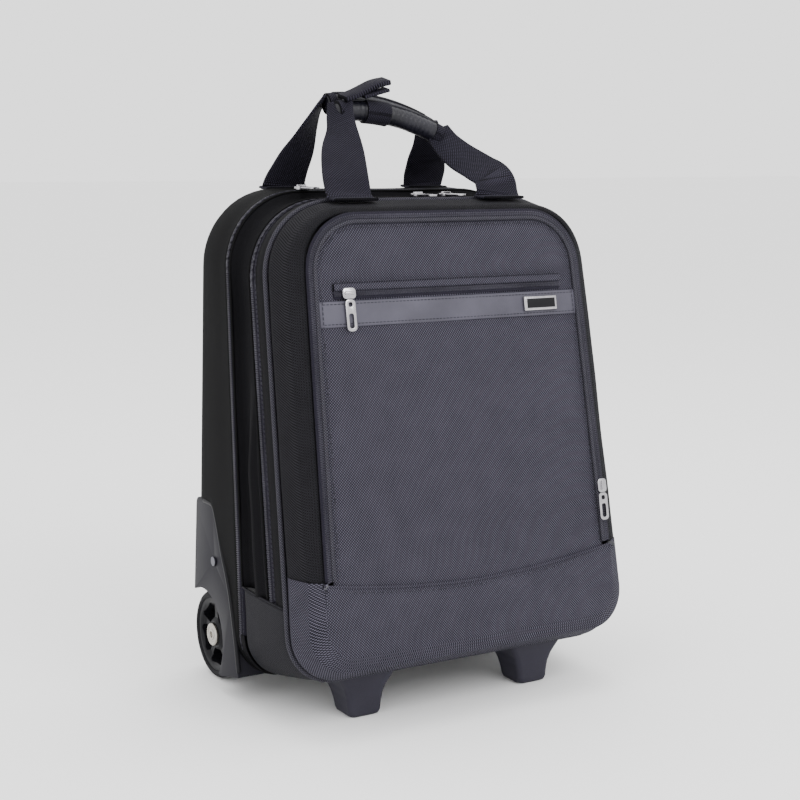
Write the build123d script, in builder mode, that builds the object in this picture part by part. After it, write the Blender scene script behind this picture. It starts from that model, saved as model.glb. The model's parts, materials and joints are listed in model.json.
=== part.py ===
from build123d import *
import math
import os

os.makedirs("parts", exist_ok=True)

# Rolling laptop case, standing on its two wheels and two front feet. Millimetres, +Z up.
# The front faces -Y and +X is on the right of someone who looks at the front.
# The origin is on the floor, under the middle of the whole case.

# ---------------------------------------------------------------- driving dimensions
width_at_bottom = 326.0      # at the rear underside
width_at_top = 301.0
low_z = 14.0                 # rear underside
top_z = 437.0
front_bottom_z = 52.0        # the plane of the front face meets the underside here
underside_slope = 13.0       # degrees; the underside drops towards the wheels
case_depth = 226.0
front_y = -126.09
lean = 10.0                  # the front face and the main zip lean back by this angle
rear_zip_lean = 6.7
front_face_inset = 18.0      # the front edges are rounded by about this much
back_edge_r = 8.0
wall = 2.5                   # padded fabric wall
recess = 6.0                 # the middle gusset lies this much inside the zips
main_zip_depth = 62.0        # behind the front face
rear_zip_y = front_y + 129.0  # where the rear zip's plane crosses the height front_bottom_z
gap = 0.3                    # half of the gap between two sections
tape_width = 5.0
tape_rise = 0.6
band_top_z = 104.0           # the front section folds down above this height
door_bottom_z = 129.0
door_half_low = 138.0
door_half_high = 129.0
door_top_z = 417.0
door_corner_r = 42.0
door_gap = 0.6

wheel_r = 40.0
wheel_width = 20.0
wheel_outer_x = 155.0
wheel_y = front_y + 209.0
axle_r = 4.0
arch_r = 44.0

tube_x = 32.0
tube_y = front_y + 198.0
tube_bottom_z = 26.0
tube_top_z = 400.0
grip_half = 46.0

strap_foot_x = 73.5
strap_middle_x = 65.5
strap_foot_width = 42.0
strap_width = 36.0
strap_thick = 3.0
strap_lift = 2.2
front_strap_y = front_y + 96.0
front_strap_z = 431.5
rear_strap_y = front_y + 216.0
rear_strap_z = 438.5
grip_left = (-51.0, 506.0)   # x and z: the carry grips slope down to the right
grip_right = (51.0, 486.0)
front_grip_y = front_y + 157.0
rear_grip_y = front_y + 176.0
rear_grip_lift = 7.0         # the rear grip rests a little higher
grip_r = 9.0

pocket_zip_z = 357.5
leather_top_z = 352.0
leather_height = 21.5

lean_sin = math.sin(math.radians(lean))
lean_cos = math.cos(math.radians(lean))
back_y = front_y + case_depth


def save(piece, name):
    """Label a finished piece and write it as its own STEP file."""
    piece.part.label = name
    export_step(piece.part, "parts/" + name + ".step")


def cross_plane(y, degrees):
    """Plane across the case, leaning back; its normal points forwards and its local y up."""
    angle = math.radians(degrees)
    return Plane(
        origin=(0, y, front_bottom_z),
        x_dir=(1, 0, 0),
        z_dir=(0, -math.cos(angle), math.sin(angle)),
    )


def lean_plane(depth):
    """Plane parallel to the front face, a depth behind it."""
    return cross_plane(front_y + depth / lean_cos, lean)


def rear_zip_plane(behind):
    """Plane of the rear zip, moved backwards."""
    return cross_plane(rear_zip_y + behind / math.cos(math.radians(rear_zip_lean)), rear_zip_lean)


def up_lean(z):
    """Distance up the leaning front at which it reaches height z."""
    return (z - front_bottom_z) / lean_cos


def front_surface_y(z, depth=0.0):
    """Y of a point at height z and at a depth behind the leaning front face."""
    return front_y + (z - front_bottom_z) * lean_sin / lean_cos + depth / lean_cos


def half_width(z):
    share = (z - low_z) / (top_z - low_z)
    return (width_at_bottom + (width_at_top - width_at_bottom) * share) / 2


def underside(y):
    """Height of the sloping underside at y."""
    return max(low_z, front_bottom_z - (y - front_y) * math.tan(math.radians(underside_slope)))


# Cross-sections from front to back: y where the section's plane crosses front_bottom_z,
# its lean, how far its outline lies inside the full outline, top height, top and bottom corner radii.
stations = [
    (front_y, lean, front_face_inset, 440.0, 40.0, 24.0),
    (front_y + 8, lean, 7.0, 432.0, 52.0, 32.0),
    (front_y + 27, lean, 0.0, 429.5, 62.0, 38.0),
    (front_y + main_zip_depth / lean_cos, lean, 0.0, 430.5, 70.0, 38.0),
    (rear_zip_y, rear_zip_lean, 0.0, 437.0, 68.0, 38.0),
    (back_y - 8, 0.0, 0.0, 438.0, 66.0, 38.0),
    (back_y, 0.0, back_edge_r, 438.0, 58.0, 30.0),
]


def envelope(inset):
    """Closed outer form of the whole case, moved inwards by inset."""
    with BuildPart() as body:
        for y, degrees, smaller, top, top_r, bottom_r in stations:
            if y == front_y:
                y = y + inset
            if y == back_y:
                y = y - inset
            angle = math.radians(degrees)
            shrink = smaller + inset
            low = underside(y) + shrink
            high = top - shrink
            v_low = (low - front_bottom_z) / math.cos(angle)
            v_high = (high - front_bottom_z) / math.cos(angle)
            with BuildSketch(cross_plane(y, degrees)) as outline:
                with BuildLine():
                    Polyline(
                        (-(half_width(low) - shrink), v_low),
                        (half_width(low) - shrink, v_low),
                        (half_width(high) - shrink, v_high),
                        (-(half_width(high) - shrink), v_high),
                        close=True,
                    )
                make_face()
                fillet(outline.vertices().group_by(Axis.Y)[0], bottom_r - inset)
                fillet(outline.vertices().group_by(Axis.Y)[-1], top_r - inset)
        loft(ruled=True)
    return body.part


full = envelope(0)
inner = envelope(wall)
recessed = envelope(recess)
recessed_inner = envelope(recess + wall)
proud = envelope(-tape_rise)


def above(height):
    return Plane.XY.offset(height)


def door_prism(grow, depth=40.0):
    """Block that cuts the pocket door out of the front, square to the leaning face."""
    bottom = up_lean(door_bottom_z) - grow
    top = up_lean(door_top_z) + grow
    with BuildPart() as block:
        with BuildSketch(lean_plane(0).offset(-depth)) as outline:
            with BuildLine():
                Polyline(
                    (-door_half_low - grow, bottom),
                    (door_half_low + grow, bottom),
                    (door_half_high + grow, top),
                    (-door_half_high - grow, top),
                    close=True,
                )
            make_face()
            fillet(outline.vertices().group_by(Axis.Y)[-1], door_corner_r + grow)
        extrude(amount=depth + 30)
    return block.part


# ---------------------------------------------------------------- wheel housings
def housing_profile(drop):
    """Side profile of the moulded corner guard, in Y and Z, its bottom lowered by drop."""
    return [
        (front_y + 131.5, 23 - drop),
        (front_y + 131.5, 23),
        (front_y + 151, 87),
        (front_y + 171, 124),
        (front_y + 187, 157),
        (front_y + 194, 165),
        (back_y + 2.5, 165),
        (back_y + 2.5, 15 - drop),
        (front_y + 166, 15 - drop),
    ][0 if drop else 1:]


housing_outer_x = width_at_bottom / 2 + 1.5
housing_inner_x = 118.0
housing_skin = 3.0
screw_place = (front_y + 186, 114.0)
screw_head_x = housing_outer_x - 2.5


def housing_side_plane(inset):
    """Plane of a housing's outer face, which follows the narrowing case; normal outwards."""
    narrowing = (width_at_bottom - width_at_top) / 2 / (top_z - low_z)
    return Plane(origin=(housing_outer_x - inset, 0, wheel_r), x_dir=(0, 1, 0), z_dir=(1, 0, narrowing * 1.4))


def housing_block(inset, x_low, x_high, drop=0):
    with BuildPart() as block:
        with BuildSketch(Plane.YZ.offset(x_low)) as profile:
            with BuildLine():
                Polyline(*housing_profile(drop), close=True)
            make_face()
            fillet(profile.vertices().sort_by(Axis.Y)[-2:], 6)
            if inset > 0:
                offset(amount=-inset, mode=Mode.REPLACE)
        extrude(amount=x_high - x_low)
        if drop == 0:
            split(bisect_by=housing_side_plane(inset), keep=Keep.BOTTOM)
    return block.part


def housing(side):
    with BuildPart() as guard:
        add(housing_block(0, housing_inner_x, housing_outer_x + 9))
        add(housing_block(housing_skin, housing_inner_x - 1, housing_outer_x + 9), mode=Mode.SUBTRACT)
        with BuildSketch(Plane.YZ.offset(housing_inner_x + 12)):
            with Locations((wheel_y, wheel_r)):
                Circle(arch_r + housing_skin)
        extrude(amount=housing_outer_x - housing_inner_x - 14)
        with BuildSketch(Plane.YZ.offset(housing_inner_x + 12 + housing_skin)):
            with Locations((wheel_y, wheel_r)):
                Circle(arch_r)
        extrude(amount=60, mode=Mode.SUBTRACT)
        # nothing hangs below the guard or behind it
        with BuildSketch(Plane.YZ.offset(housing_inner_x - 5)):
            with Locations((wheel_y, -35)):
                Rectangle(240, 100)
        extrude(amount=80, mode=Mode.SUBTRACT)
        with BuildSketch(Plane.YZ.offset(housing_inner_x - 5)):
            with Locations((back_y + 2.5 + 30, 80)):
                Rectangle(60, 200)
        extrude(amount=80, mode=Mode.SUBTRACT)
        # boss that holds the axle
        with BuildSketch(Plane.YZ.offset(housing_inner_x)):
            with Locations((wheel_y, wheel_r)):
                Circle(10)
        extrude(amount=12)
        with BuildSketch(Plane.YZ.offset(housing_inner_x - 5)):
            with Locations((wheel_y, wheel_r)):
                Circle(axle_r)
        extrude(amount=60, mode=Mode.SUBTRACT)
        with BuildSketch(Plane.YZ.offset(housing_outer_x - 10)):
            with Locations(screw_place):
                Circle(2.2)
        extrude(amount=20, mode=Mode.SUBTRACT)
        if side < 0:
            mirror(about=Plane.YZ, mode=Mode.REPLACE)
    return guard


for side, word in ((-1, "left"), (1, "right")):
    save(housing(side), "wheel_housing_" + word)

housing_room = [housing_block(0, housing_inner_x, housing_outer_x + 9, drop=20)]
housing_room.append(housing_room[0].mirror(Plane.YZ))

# ---------------------------------------------------------------- rear section
cup_half_x = 50.0
cup_front_y = tube_y - 11.0
cup_back_y = tube_y + 11.0
cup_bottom_z = tube_top_z - 2
cup_wall = 2.0
rim_z = top_z + 1.5


def cup_outline(smaller):
    """Rectangle of the recess for the pull grip, on the current sketch plane."""
    with Locations((0, tube_y)):
        Rectangle(2 * (cup_half_x - smaller), cup_back_y - cup_front_y - 2 * smaller)


with BuildPart() as rear_shell:
    add(full)
    add(inner, mode=Mode.SUBTRACT)
    split(bisect_by=rear_zip_plane(gap), keep=Keep.BOTTOM)
    add(housing_room, mode=Mode.SUBTRACT)
    with BuildSketch(above(top_z - 20)):
        cup_outline(0)
    extrude(amount=40, mode=Mode.SUBTRACT)
save(rear_shell, "rear_shell")

with BuildPart() as handle_cup:
    with BuildSketch(above(cup_bottom_z)):
        cup_outline(0)
    extrude(amount=rim_z - cup_bottom_z)
    with BuildSketch(above(cup_bottom_z + cup_wall)):
        cup_outline(cup_wall)
    extrude(amount=60, mode=Mode.SUBTRACT)
    with BuildSketch(above(cup_bottom_z - 5)):
        with Locations((-tube_x, tube_y), (tube_x, tube_y)):
            RectangleRounded(22.2, 13.2, 3)
    extrude(amount=20, mode=Mode.SUBTRACT)
save(handle_cup, "handle_cup")

board_back_y = cup_front_y - 0.3
board_thick = 2.0
board_low_z = 40.0
board_high_z = 424.0
with BuildPart() as back_board:
    with BuildSketch(Plane.XZ.offset(-board_back_y)) as board_outline:
        with Locations((0, (board_low_z + board_high_z) / 2)):
            Rectangle(230, board_high_z - board_low_z)
        fillet(board_outline.vertices(), 30)
    extrude(amount=board_thick)
save(back_board, "back_board")

with BuildPart() as back_pad:
    with BuildSketch(Plane.XZ.offset(-(back_y - wall - 0.3))) as pad_outline:
        with Locations((0, 290)):
            Rectangle(260, 230)
        fillet(pad_outline.vertices(), 20)
    extrude(amount=5)
save(back_pad, "back_pad")

rear_floor_z = low_z + 7.5
with BuildPart() as rear_base_board:
    with BuildSketch(above(rear_floor_z)):
        with Locations((0, (wheel_y - 38 + board_back_y) / 2)):
            Rectangle(2 * housing_inner_x - 4, board_back_y - wheel_y + 38)
    extrude(amount=2.5)
save(rear_base_board, "rear_base_board")


def slab(outer, core, front_plane, rear_plane, lowest):
    """Part of a shell between two leaning planes and above a height."""
    with BuildPart() as piece:
        add(outer)
        add(core, mode=Mode.SUBTRACT)
        split(bisect_by=front_plane, keep=Keep.BOTTOM)
        split(bisect_by=rear_plane, keep=Keep.TOP)
        split(bisect_by=above(lowest), keep=Keep.TOP)
        add(housing_room, mode=Mode.SUBTRACT)
    return piece


rear_zip_end_z = 50.0
save(
    slab(proud, full, rear_zip_plane(gap), rear_zip_plane(gap + tape_width), rear_zip_end_z),
    "rear_zip_tape",
)


# ---------------------------------------------------------------- wheels
def wheel_tyre(side):
    with BuildPart() as tyre:
        with BuildSketch(Plane.YZ.offset(wheel_outer_x - wheel_width)):
            with Locations((wheel_y, wheel_r)):
                Circle(wheel_r)
                Circle(wheel_r - 7, mode=Mode.SUBTRACT)
        extrude(amount=wheel_width)
        rims = tyre.edges().filter_by(GeomType.CIRCLE).sort_by(SortBy.LENGTH)[-2:]
        fillet(rims, 4)
        if side < 0:
            mirror(about=Plane.YZ, mode=Mode.REPLACE)
    return tyre


def wheel_hub(side):
    with BuildPart() as hub:
        with BuildSketch(Plane.YZ.offset(wheel_outer_x - wheel_width + 2)):
            with Locations((wheel_y, wheel_r)):
                Circle(wheel_r - 7)
                Circle(5.6, mode=Mode.SUBTRACT)
        extrude(amount=wheel_width - 4)
        with BuildSketch(Plane.YZ.offset(wheel_outer_x - wheel_width - 5)) as windows:
            with Locations((wheel_y, wheel_r)):
                with PolarLocations(0, 5, start_angle=90):
                    with BuildLine():
                        inner_arc = CenterArc((0, 0), 13.5, -22, 44)
                        outer_arc = CenterArc((0, 0), 28.5, -28, 56)
                        Line(inner_arc @ 0, outer_arc @ 0)
                        Line(inner_arc @ 1, outer_arc @ 1)
                    make_face()
            fillet(windows.vertices(), 2)
        extrude(amount=40, mode=Mode.SUBTRACT)
        if side < 0:
            mirror(about=Plane.YZ, mode=Mode.REPLACE)
    return hub


def turned(side, x_low, x_high, outer_r, inner_r, edge):
    """Ring or disc on the wheel's axis."""
    with BuildPart() as piece:
        with BuildSketch(Plane.YZ.offset(x_low)):
            with Locations((wheel_y, wheel_r)):
                Circle(outer_r)
                if inner_r > 0:
                    Circle(inner_r, mode=Mode.SUBTRACT)
        extrude(amount=x_high - x_low)
        if edge > 0:
            fillet(piece.faces().sort_by(Axis.X)[-1].edges(), edge)
        if side < 0:
            mirror(about=Plane.YZ, mode=Mode.REPLACE)
    return piece


running_clearance = 0.06
for side, word in ((-1, "left"), (1, "right")):
    save(wheel_tyre(side), "wheel_tyre_" + word)
    save(wheel_hub(side), "wheel_hub_" + word)
    bush_low = wheel_outer_x - wheel_width + 1
    save(
        turned(side, bush_low, wheel_outer_x - 3, 5.6, axle_r + running_clearance, 0),
        "wheel_bush_" + word,
    )
    save(turned(side, wheel_outer_x - 1.8, wheel_outer_x + 1.2, 10.5, 0, 1.2), "hub_cap_" + word)
    save(turned(side, housing_inner_x + 1, wheel_outer_x - 4, axle_r, 0, 0), "axle_" + word)

with BuildPart() as housing_screws:
    for side in (-1, 1):
        with BuildSketch(Plane.YZ.offset(side * (screw_head_x - 12))):
            with Locations(screw_place):
                Circle(2.2)
        extrude(amount=side * 12)
        with BuildSketch(Plane.YZ.offset(side * screw_head_x)):
            with Locations(screw_place):
                Circle(4.2)
        extrude(amount=side * 1.2)
save(housing_screws, "housing_screws")

# ---------------------------------------------------------------- middle section
main_rear = lean_plane(main_zip_depth + gap)
rear_front = rear_zip_plane(-gap)
save(slab(recessed, recessed_inner, main_rear, rear_front, band_top_z), "middle_gusset")

rim_thick = 2.5
with BuildPart() as base_tray:
    add(full)
    add(inner, mode=Mode.SUBTRACT)
    split(bisect_by=main_rear, keep=Keep.BOTTOM)
    split(bisect_by=rear_front, keep=Keep.TOP)
    split(bisect_by=above(band_top_z), keep=Keep.BOTTOM)
    add(housing_room, mode=Mode.SUBTRACT)
save(base_tray, "base_tray")

with BuildPart() as base_rim:
    add(inner)
    add(recessed_inner, mode=Mode.SUBTRACT)
    split(bisect_by=main_rear, keep=Keep.BOTTOM)
    split(bisect_by=rear_front, keep=Keep.TOP)
    split(bisect_by=above(band_top_z), keep=Keep.BOTTOM)
    split(bisect_by=above(band_top_z - rim_thick), keep=Keep.TOP)
save(base_rim, "base_rim")

with BuildPart() as front_band:
    add(full)
    add(inner, mode=Mode.SUBTRACT)
    split(bisect_by=main_rear, keep=Keep.TOP)
    split(bisect_by=above(band_top_z - gap), keep=Keep.BOTTOM)
save(front_band, "front_band")

save(
    slab(proud, recessed, rear_zip_plane(-gap - tape_width), rear_front, band_top_z),
    "rear_zip_tape_middle",
)
save(
    slab(proud, recessed, main_rear, lean_plane(main_zip_depth + gap + tape_width), band_top_z),
    "main_zip_tape_middle",
)

with BuildPart() as divider_panel:
    add(recessed_inner)
    split(bisect_by=rear_zip_plane(-4), keep=Keep.BOTTOM)
    split(bisect_by=rear_zip_plane(-1.5), keep=Keep.TOP)
save(divider_panel, "divider_panel")

sleeve_half = 130.0
sleeve_low = -12.0           # up the plane of the rear zip, from front_bottom_z
sleeve_high = 262.0
sleeve_wall = 4.0
sleeve_room = 28.0
with BuildPart() as laptop_sleeve:
    with BuildSketch(rear_zip_plane(-4)):
        with Locations((0, (sleeve_low + sleeve_high) / 2)):
            Rectangle(2 * sleeve_half, sleeve_high - sleeve_low)
    extrude(amount=sleeve_room + sleeve_wall)
    with BuildSketch(rear_zip_plane(4)):
        with Locations((0, (sleeve_low + sleeve_high) / 2 + sleeve_wall)):
            Rectangle(2 * (sleeve_half - sleeve_wall), sleeve_high - sleeve_low)
    extrude(amount=sleeve_room + 8, mode=Mode.SUBTRACT)
save(laptop_sleeve, "laptop_sleeve")

foot_x = 86.0
foot_y = front_y + 63.0
# height, width, depth and how far back the middle of the foot lies
foot_stations = [
    (0.0, 27.0, 28.0, 0.0),
    (3.0, 31.0, 32.0, 0.0),
    (14.0, 34.0, 36.0, 1.0),
    (24.0, 41.0, 42.0, 2.0),
    (34.0, 54.0, 50.0, 4.0),
    (48.0, 58.0, 54.0, 4.0),
]


def foot(side):
    """Moulded foot, shaped to the sloping underside."""
    with BuildPart() as block:
        for height, across, deep, back in foot_stations:
            with BuildSketch(Plane.XY.offset(height)):
                with Locations((side * foot_x, foot_y + back)):
                    RectangleRounded(across, deep, 6)
        loft()
        add(full, mode=Mode.SUBTRACT)
    return block


save(foot(-1), "foot_left")
save(foot(1), "foot_right")

# ---------------------------------------------------------------- front section
main_front = lean_plane(main_zip_depth - gap)
with BuildPart() as front_shell:
    add(full)
    add(inner, mode=Mode.SUBTRACT)
    split(bisect_by=main_front, keep=Keep.TOP)
    split(bisect_by=above(band_top_z + gap), keep=Keep.TOP)
    add(door_prism(door_gap, 10), mode=Mode.SUBTRACT)
save(front_shell, "front_shell")

save(
    slab(proud, full, lean_plane(main_zip_depth - gap - tape_width), main_front, band_top_z + 2),
    "main_zip_tape_front",
)

with BuildPart() as pocket_back:
    add(inner)
    split(bisect_by=lean_plane(27.5), keep=Keep.BOTTOM)
    split(bisect_by=lean_plane(29.0), keep=Keep.TOP)
    split(bisect_by=above(band_top_z + gap), keep=Keep.TOP)
save(pocket_back, "pocket_back")

with BuildPart() as front_zip_tape:
    add(proud)
    add(full, mode=Mode.SUBTRACT)
    split(bisect_by=lean_plane(10), keep=Keep.TOP)
    split(bisect_by=above(door_bottom_z), keep=Keep.TOP)
    add(door_prism(door_gap), mode=Mode.SUBTRACT)
    add(door_prism(door_gap + tape_width), mode=Mode.INTERSECT)
save(front_zip_tape, "front_zip_tape")

with BuildPart() as pocket_door:
    add(full)
    add(inner, mode=Mode.SUBTRACT)
    split(bisect_by=lean_plane(10), keep=Keep.TOP)
    add(door_prism(0), mode=Mode.INTERSECT)
save(pocket_door, "pocket_door")


def on_face(x, z, rise):
    """Plane on the front face, its y up the face and its normal forwards."""
    base = lean_plane(0).offset(rise)
    return Plane(
        origin=base.from_local_coords(Vector(x, up_lean(z), 0)),
        x_dir=(1, 0, 0),
        z_dir=base.z_dir,
    )


pocket_zip_half = 114.0
pocket_zip_height = 9.0
leather_half = 128.0
leather_thick = 1.2
leather_mid_z = leather_top_z - leather_height / 2
badge_x = 88.0
with BuildPart() as pocket_zip_tape:
    with BuildSketch(on_face(0, pocket_zip_z, 0)):
        Rectangle(2 * pocket_zip_half, pocket_zip_height)
    extrude(amount=tape_rise)
save(pocket_zip_tape, "pocket_zip_tape")

with BuildPart() as leather_band:
    with BuildSketch(on_face(0, leather_mid_z, 0)):
        Rectangle(2 * leather_half, leather_height)
    extrude(amount=leather_thick)
save(leather_band, "leather_band")

with BuildPart() as badge:
    with BuildSketch(on_face(badge_x, leather_mid_z, leather_thick)):
        RectangleRounded(33, 12, 1)
    extrude(amount=2)
save(badge, "badge")

# ---------------------------------------------------------------- zip sliders and pulls
slider_length = 12.0
slider_width = 9.0
slider_height = 4.5
pull_width = 9.0
pull_thick = 1.8
slider_float = 1.2
pull_float = 2.2
pull_drop = slider_width / 2 + 0.4


def slider(place):
    """Zip slider: long side along the plane's x, standing up along its normal."""
    with BuildPart() as body:
        with BuildSketch(place):
            RectangleRounded(slider_length, slider_width, 3)
        extrude(amount=slider_height - 1.5)
        with BuildSketch(place.offset(slider_height - 1.5)):
            RectangleRounded(slider_length - 3, 2.6, 1)
        extrude(amount=1.5)
    return body


def pull(place, length):
    """Loop-shaped pull that hangs from the plane's origin along its -y."""
    with BuildPart() as loop:
        with BuildSketch(place):
            with Locations((0, -length / 2)):
                RectangleRounded(pull_width, length, 3.4)
            with Locations((0, 8.5 - length)):
                RectangleRounded(4.4, 12, 1.8, mode=Mode.SUBTRACT)
            with Locations((0, -4.2)):
                RectangleRounded(3.6, 3.6, 1.2, mode=Mode.SUBTRACT)
        extrude(amount=pull_thick)
    return loop


pocket_slider_x = -99.0
save(slider(on_face(pocket_slider_x, pocket_zip_z, slider_float)), "pocket_slider")
save(pull(on_face(pocket_slider_x, pocket_zip_z - pull_drop, 2.6), 26), "pocket_pull")

front_slider_z = 180.0
front_slider_x = door_half_low + 0.3 - (front_slider_z - door_bottom_z) * (
    (door_half_low - door_half_high) / (door_top_z - door_bottom_z)
)
upright = on_face(front_slider_x, front_slider_z, tape_rise + slider_float)
save(slider(Plane(origin=upright.origin, x_dir=upright.y_dir, z_dir=upright.z_dir)), "front_slider")
front_pull_z = front_slider_z - (slider_length / 2 + 0.4) * lean_cos
save(pull(on_face(front_slider_x, front_pull_z, tape_rise + pull_float), 24), "front_pull")


def on_top(x, y, z):
    """Plane on the top of the case; its y points backwards."""
    return Plane(origin=(x, y, z), x_dir=(1, 0, 0), z_dir=(0, 0, 1))


main_zip_top_z = 430.6
main_zip_top_y = front_surface_y(main_zip_top_z, main_zip_depth)
main_slider_x = (14.0, 43.0)
top_rise = tape_rise + slider_float
for x, word in zip(main_slider_x, ("left", "right")):
    save(slider(on_top(x, main_zip_top_y, main_zip_top_z + top_rise)), "main_slider_" + word)
    hinge_y = main_zip_top_y - pull_drop
    save(pull(on_top(x, hinge_y, main_zip_top_z + tape_rise + pull_float), 23), "main_pull_" + word)

rear_slider_x = -78.0
rear_zip_top_z = 437.0
rear_zip_top_y = rear_zip_y + (rear_zip_top_z - front_bottom_z) * math.tan(math.radians(rear_zip_lean))
save(slider(on_top(rear_slider_x, rear_zip_top_y, rear_zip_top_z + top_rise)), "rear_slider")
hinge_y = rear_zip_top_y - pull_drop
save(pull(on_top(rear_slider_x, hinge_y, rear_zip_top_z + tape_rise + pull_float), 23), "rear_pull")


# ---------------------------------------------------------------- telescopic handle
def tube_pair(piece_low, piece_high, across, deep, thick, corner):
    """Two upright tubes, one each side."""
    with BuildPart() as tubes:
        with BuildSketch(above(piece_low)):
            with Locations((-tube_x, tube_y), (tube_x, tube_y)):
                RectangleRounded(across, deep, corner)
                RectangleRounded(across - 2 * thick, deep - 2 * thick, corner - thick, mode=Mode.SUBTRACT)
        extrude(amount=piece_high - piece_low)
    return tubes


save(tube_pair(tube_bottom_z, tube_top_z + 1, 22, 13, 1.2, 3), "guide_tubes")
save(tube_pair(tube_bottom_z + 12, tube_top_z + 1, 19.2, 10.2, 1.0, 2.6), "stage_one_tubes")
save(tube_pair(tube_bottom_z + 24, tube_top_z + 8, 16.8, 7.8, 1.0, 2.2), "stage_two_tubes")

with BuildPart() as guide_brackets:
    with BuildSketch(above(rear_floor_z)):
        with Locations((-tube_x, tube_y), (tube_x, tube_y)):
            RectangleRounded(26, 17, 3)
    extrude(amount=tube_bottom_z - rear_floor_z)
    for height in (120, 240, 360):
        with BuildSketch(above(height)):
            with Locations((-tube_x, tube_y), (tube_x, tube_y)):
                RectangleRounded(26, 17, 3)
                RectangleRounded(22, 13, 3, mode=Mode.SUBTRACT)
        extrude(amount=12)
save(guide_brackets, "guide_brackets")

grip_bottom_z = tube_top_z + 8
grip_top_z = top_z
grip_depth = 16.5
button_half = 13.0
button_depth = 9.0
with BuildPart() as pull_grip:
    with BuildSketch(above(grip_bottom_z)):
        with Locations((0, tube_y)):
            RectangleRounded(2 * grip_half, grip_depth, 6)
    extrude(amount=grip_top_z - grip_bottom_z)
    fillet(pull_grip.faces().sort_by(Axis.Z)[-1].edges(), 4)
    with BuildSketch(above(grip_top_z - 12)):
        with Locations((0, tube_y)):
            RectangleRounded(2 * button_half + 0.6, button_depth + 0.6, 3)
    extrude(amount=20, mode=Mode.SUBTRACT)
save(pull_grip, "pull_grip")

with BuildPart() as release_button:
    with BuildSketch(above(grip_top_z - 6)):
        with Locations((0, tube_y)):
            RectangleRounded(2 * button_half, button_depth, 3)
    extrude(amount=6.8)
    fillet(release_button.faces().sort_by(Axis.Z)[-1].edges(), 1.2)
save(release_button, "release_button")

# ---------------------------------------------------------------- carry handles
grip_bow = 7.0
grip_end_z = (grip_left[1], grip_right[1])


def grip_path(y, lift):
    """Bowed line along the middle of a carry grip, joined to the current part."""
    start_x, start_z = grip_left
    end_x, end_z = grip_right
    return ThreePointArc(
        (start_x, y, start_z + lift),
        ((start_x + end_x) / 2, y, (start_z + end_z) / 2 + grip_bow + lift),
        (end_x, y, end_z + lift),
    )


def carry_grip(y, lift):
    with BuildPart() as grip:
        with BuildLine():
            path = grip_path(y, lift)
        with BuildSketch(Plane(origin=path @ 0, z_dir=path % 0)):
            Circle(grip_r)
        sweep()
    return grip


def strap_places(side, foot_at, middle_at, top_at, top_width):
    """Foot, middle and top of one strap: each a point, the strap's direction there and its width."""
    foot_y, foot_z = foot_at
    middle_y, middle_z = middle_at
    top_x, top_y, top_z = top_at
    return [
        ((side * strap_foot_x, foot_y, foot_z), (middle_y - foot_y, 2 * (middle_z - foot_z)), strap_foot_width),
        ((side * strap_middle_x, middle_y, middle_z), (top_y - foot_y, top_z - foot_z), strap_width),
        ((side * top_x, top_y, top_z), (2 * (top_y - middle_y), top_z - middle_z), top_width),
    ]


def carry_straps(foot_at, middle_at, grip_y, top_x, top_width):
    """Two webbing straps, each from the top of the case to the underside of a grip's end."""
    with BuildPart() as straps:
        for side, end_z in zip((-1, 1), grip_end_z):
            top_at = (top_x, grip_y, end_z - grip_r - 2.0)
            raised = (middle_at[0], middle_at[1] + (end_z - grip_right[1]) / 2)
            for point, slope, across in strap_places(side, foot_at, raised, top_at, top_width):
                with BuildSketch(Plane(origin=point, x_dir=(1, 0, 0), z_dir=(0, *slope))):
                    RectangleRounded(across, strap_thick, strap_thick / 2 - 0.1)
            loft()
    return straps


save(carry_grip(front_grip_y, 0), "front_grip")
save(carry_grip(rear_grip_y, rear_grip_lift), "rear_grip")
front_strap_foot = (front_strap_y, front_strap_z + strap_lift)
front_strap_middle = (front_y + 131.0, 461.0)
save(carry_straps(front_strap_foot, front_strap_middle, front_grip_y, 56.0, 30.0), "front_straps")
rear_strap_foot = (rear_strap_y, rear_strap_z + strap_lift)
rear_strap_middle = (front_y + 202.0, 464.0)
save(carry_straps(rear_strap_foot, rear_strap_middle, rear_grip_y, 61.0, 26.0), "rear_straps")

keeper_inner_r = grip_r + 0.8
keeper_outer_r = grip_r + 2.6
keeper_width = 26.0
keeper_place = 0.34          # share of the way along the grip, from the left
with BuildPart() as keeper_loop:
    with BuildLine(mode=Mode.PRIVATE):
        grip_line = grip_path(front_grip_y, 0)
    here = Plane(origin=grip_line @ keeper_place, x_dir=(0, 1, 0), z_dir=grip_line % keeper_place)
    with BuildSketch(here):
        Circle(keeper_outer_r)
        Circle(keeper_inner_r, mode=Mode.SUBTRACT)
        with Locations((keeper_outer_r, 0)):
            Rectangle(keeper_outer_r, 19, mode=Mode.SUBTRACT)
    extrude(amount=keeper_width / 2, both=True)
save(keeper_loop, "keeper_loop")

tab_x = -38.0
tab_z = 521.5
tab_length = 38.0
tab_rise = 12.0              # degrees
with BuildPart() as snap_tab:
    tab_angle = math.radians(tab_rise)
    tab_plane = Plane(
        origin=(tab_x, front_grip_y - 2, tab_z),
        x_dir=(math.cos(tab_angle), 0, math.sin(tab_angle)),
        z_dir=(-math.sin(tab_angle), 0, math.cos(tab_angle)),
    )
    with BuildSketch(tab_plane):
        with Locations((tab_length / 2, 0)):
            RectangleRounded(tab_length, 20, 4)
    extrude(amount=2.4)
save(snap_tab, "snap_tab")
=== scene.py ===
import json
import math

import bpy
import bmesh
import numpy as np
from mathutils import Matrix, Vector, noise

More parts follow.
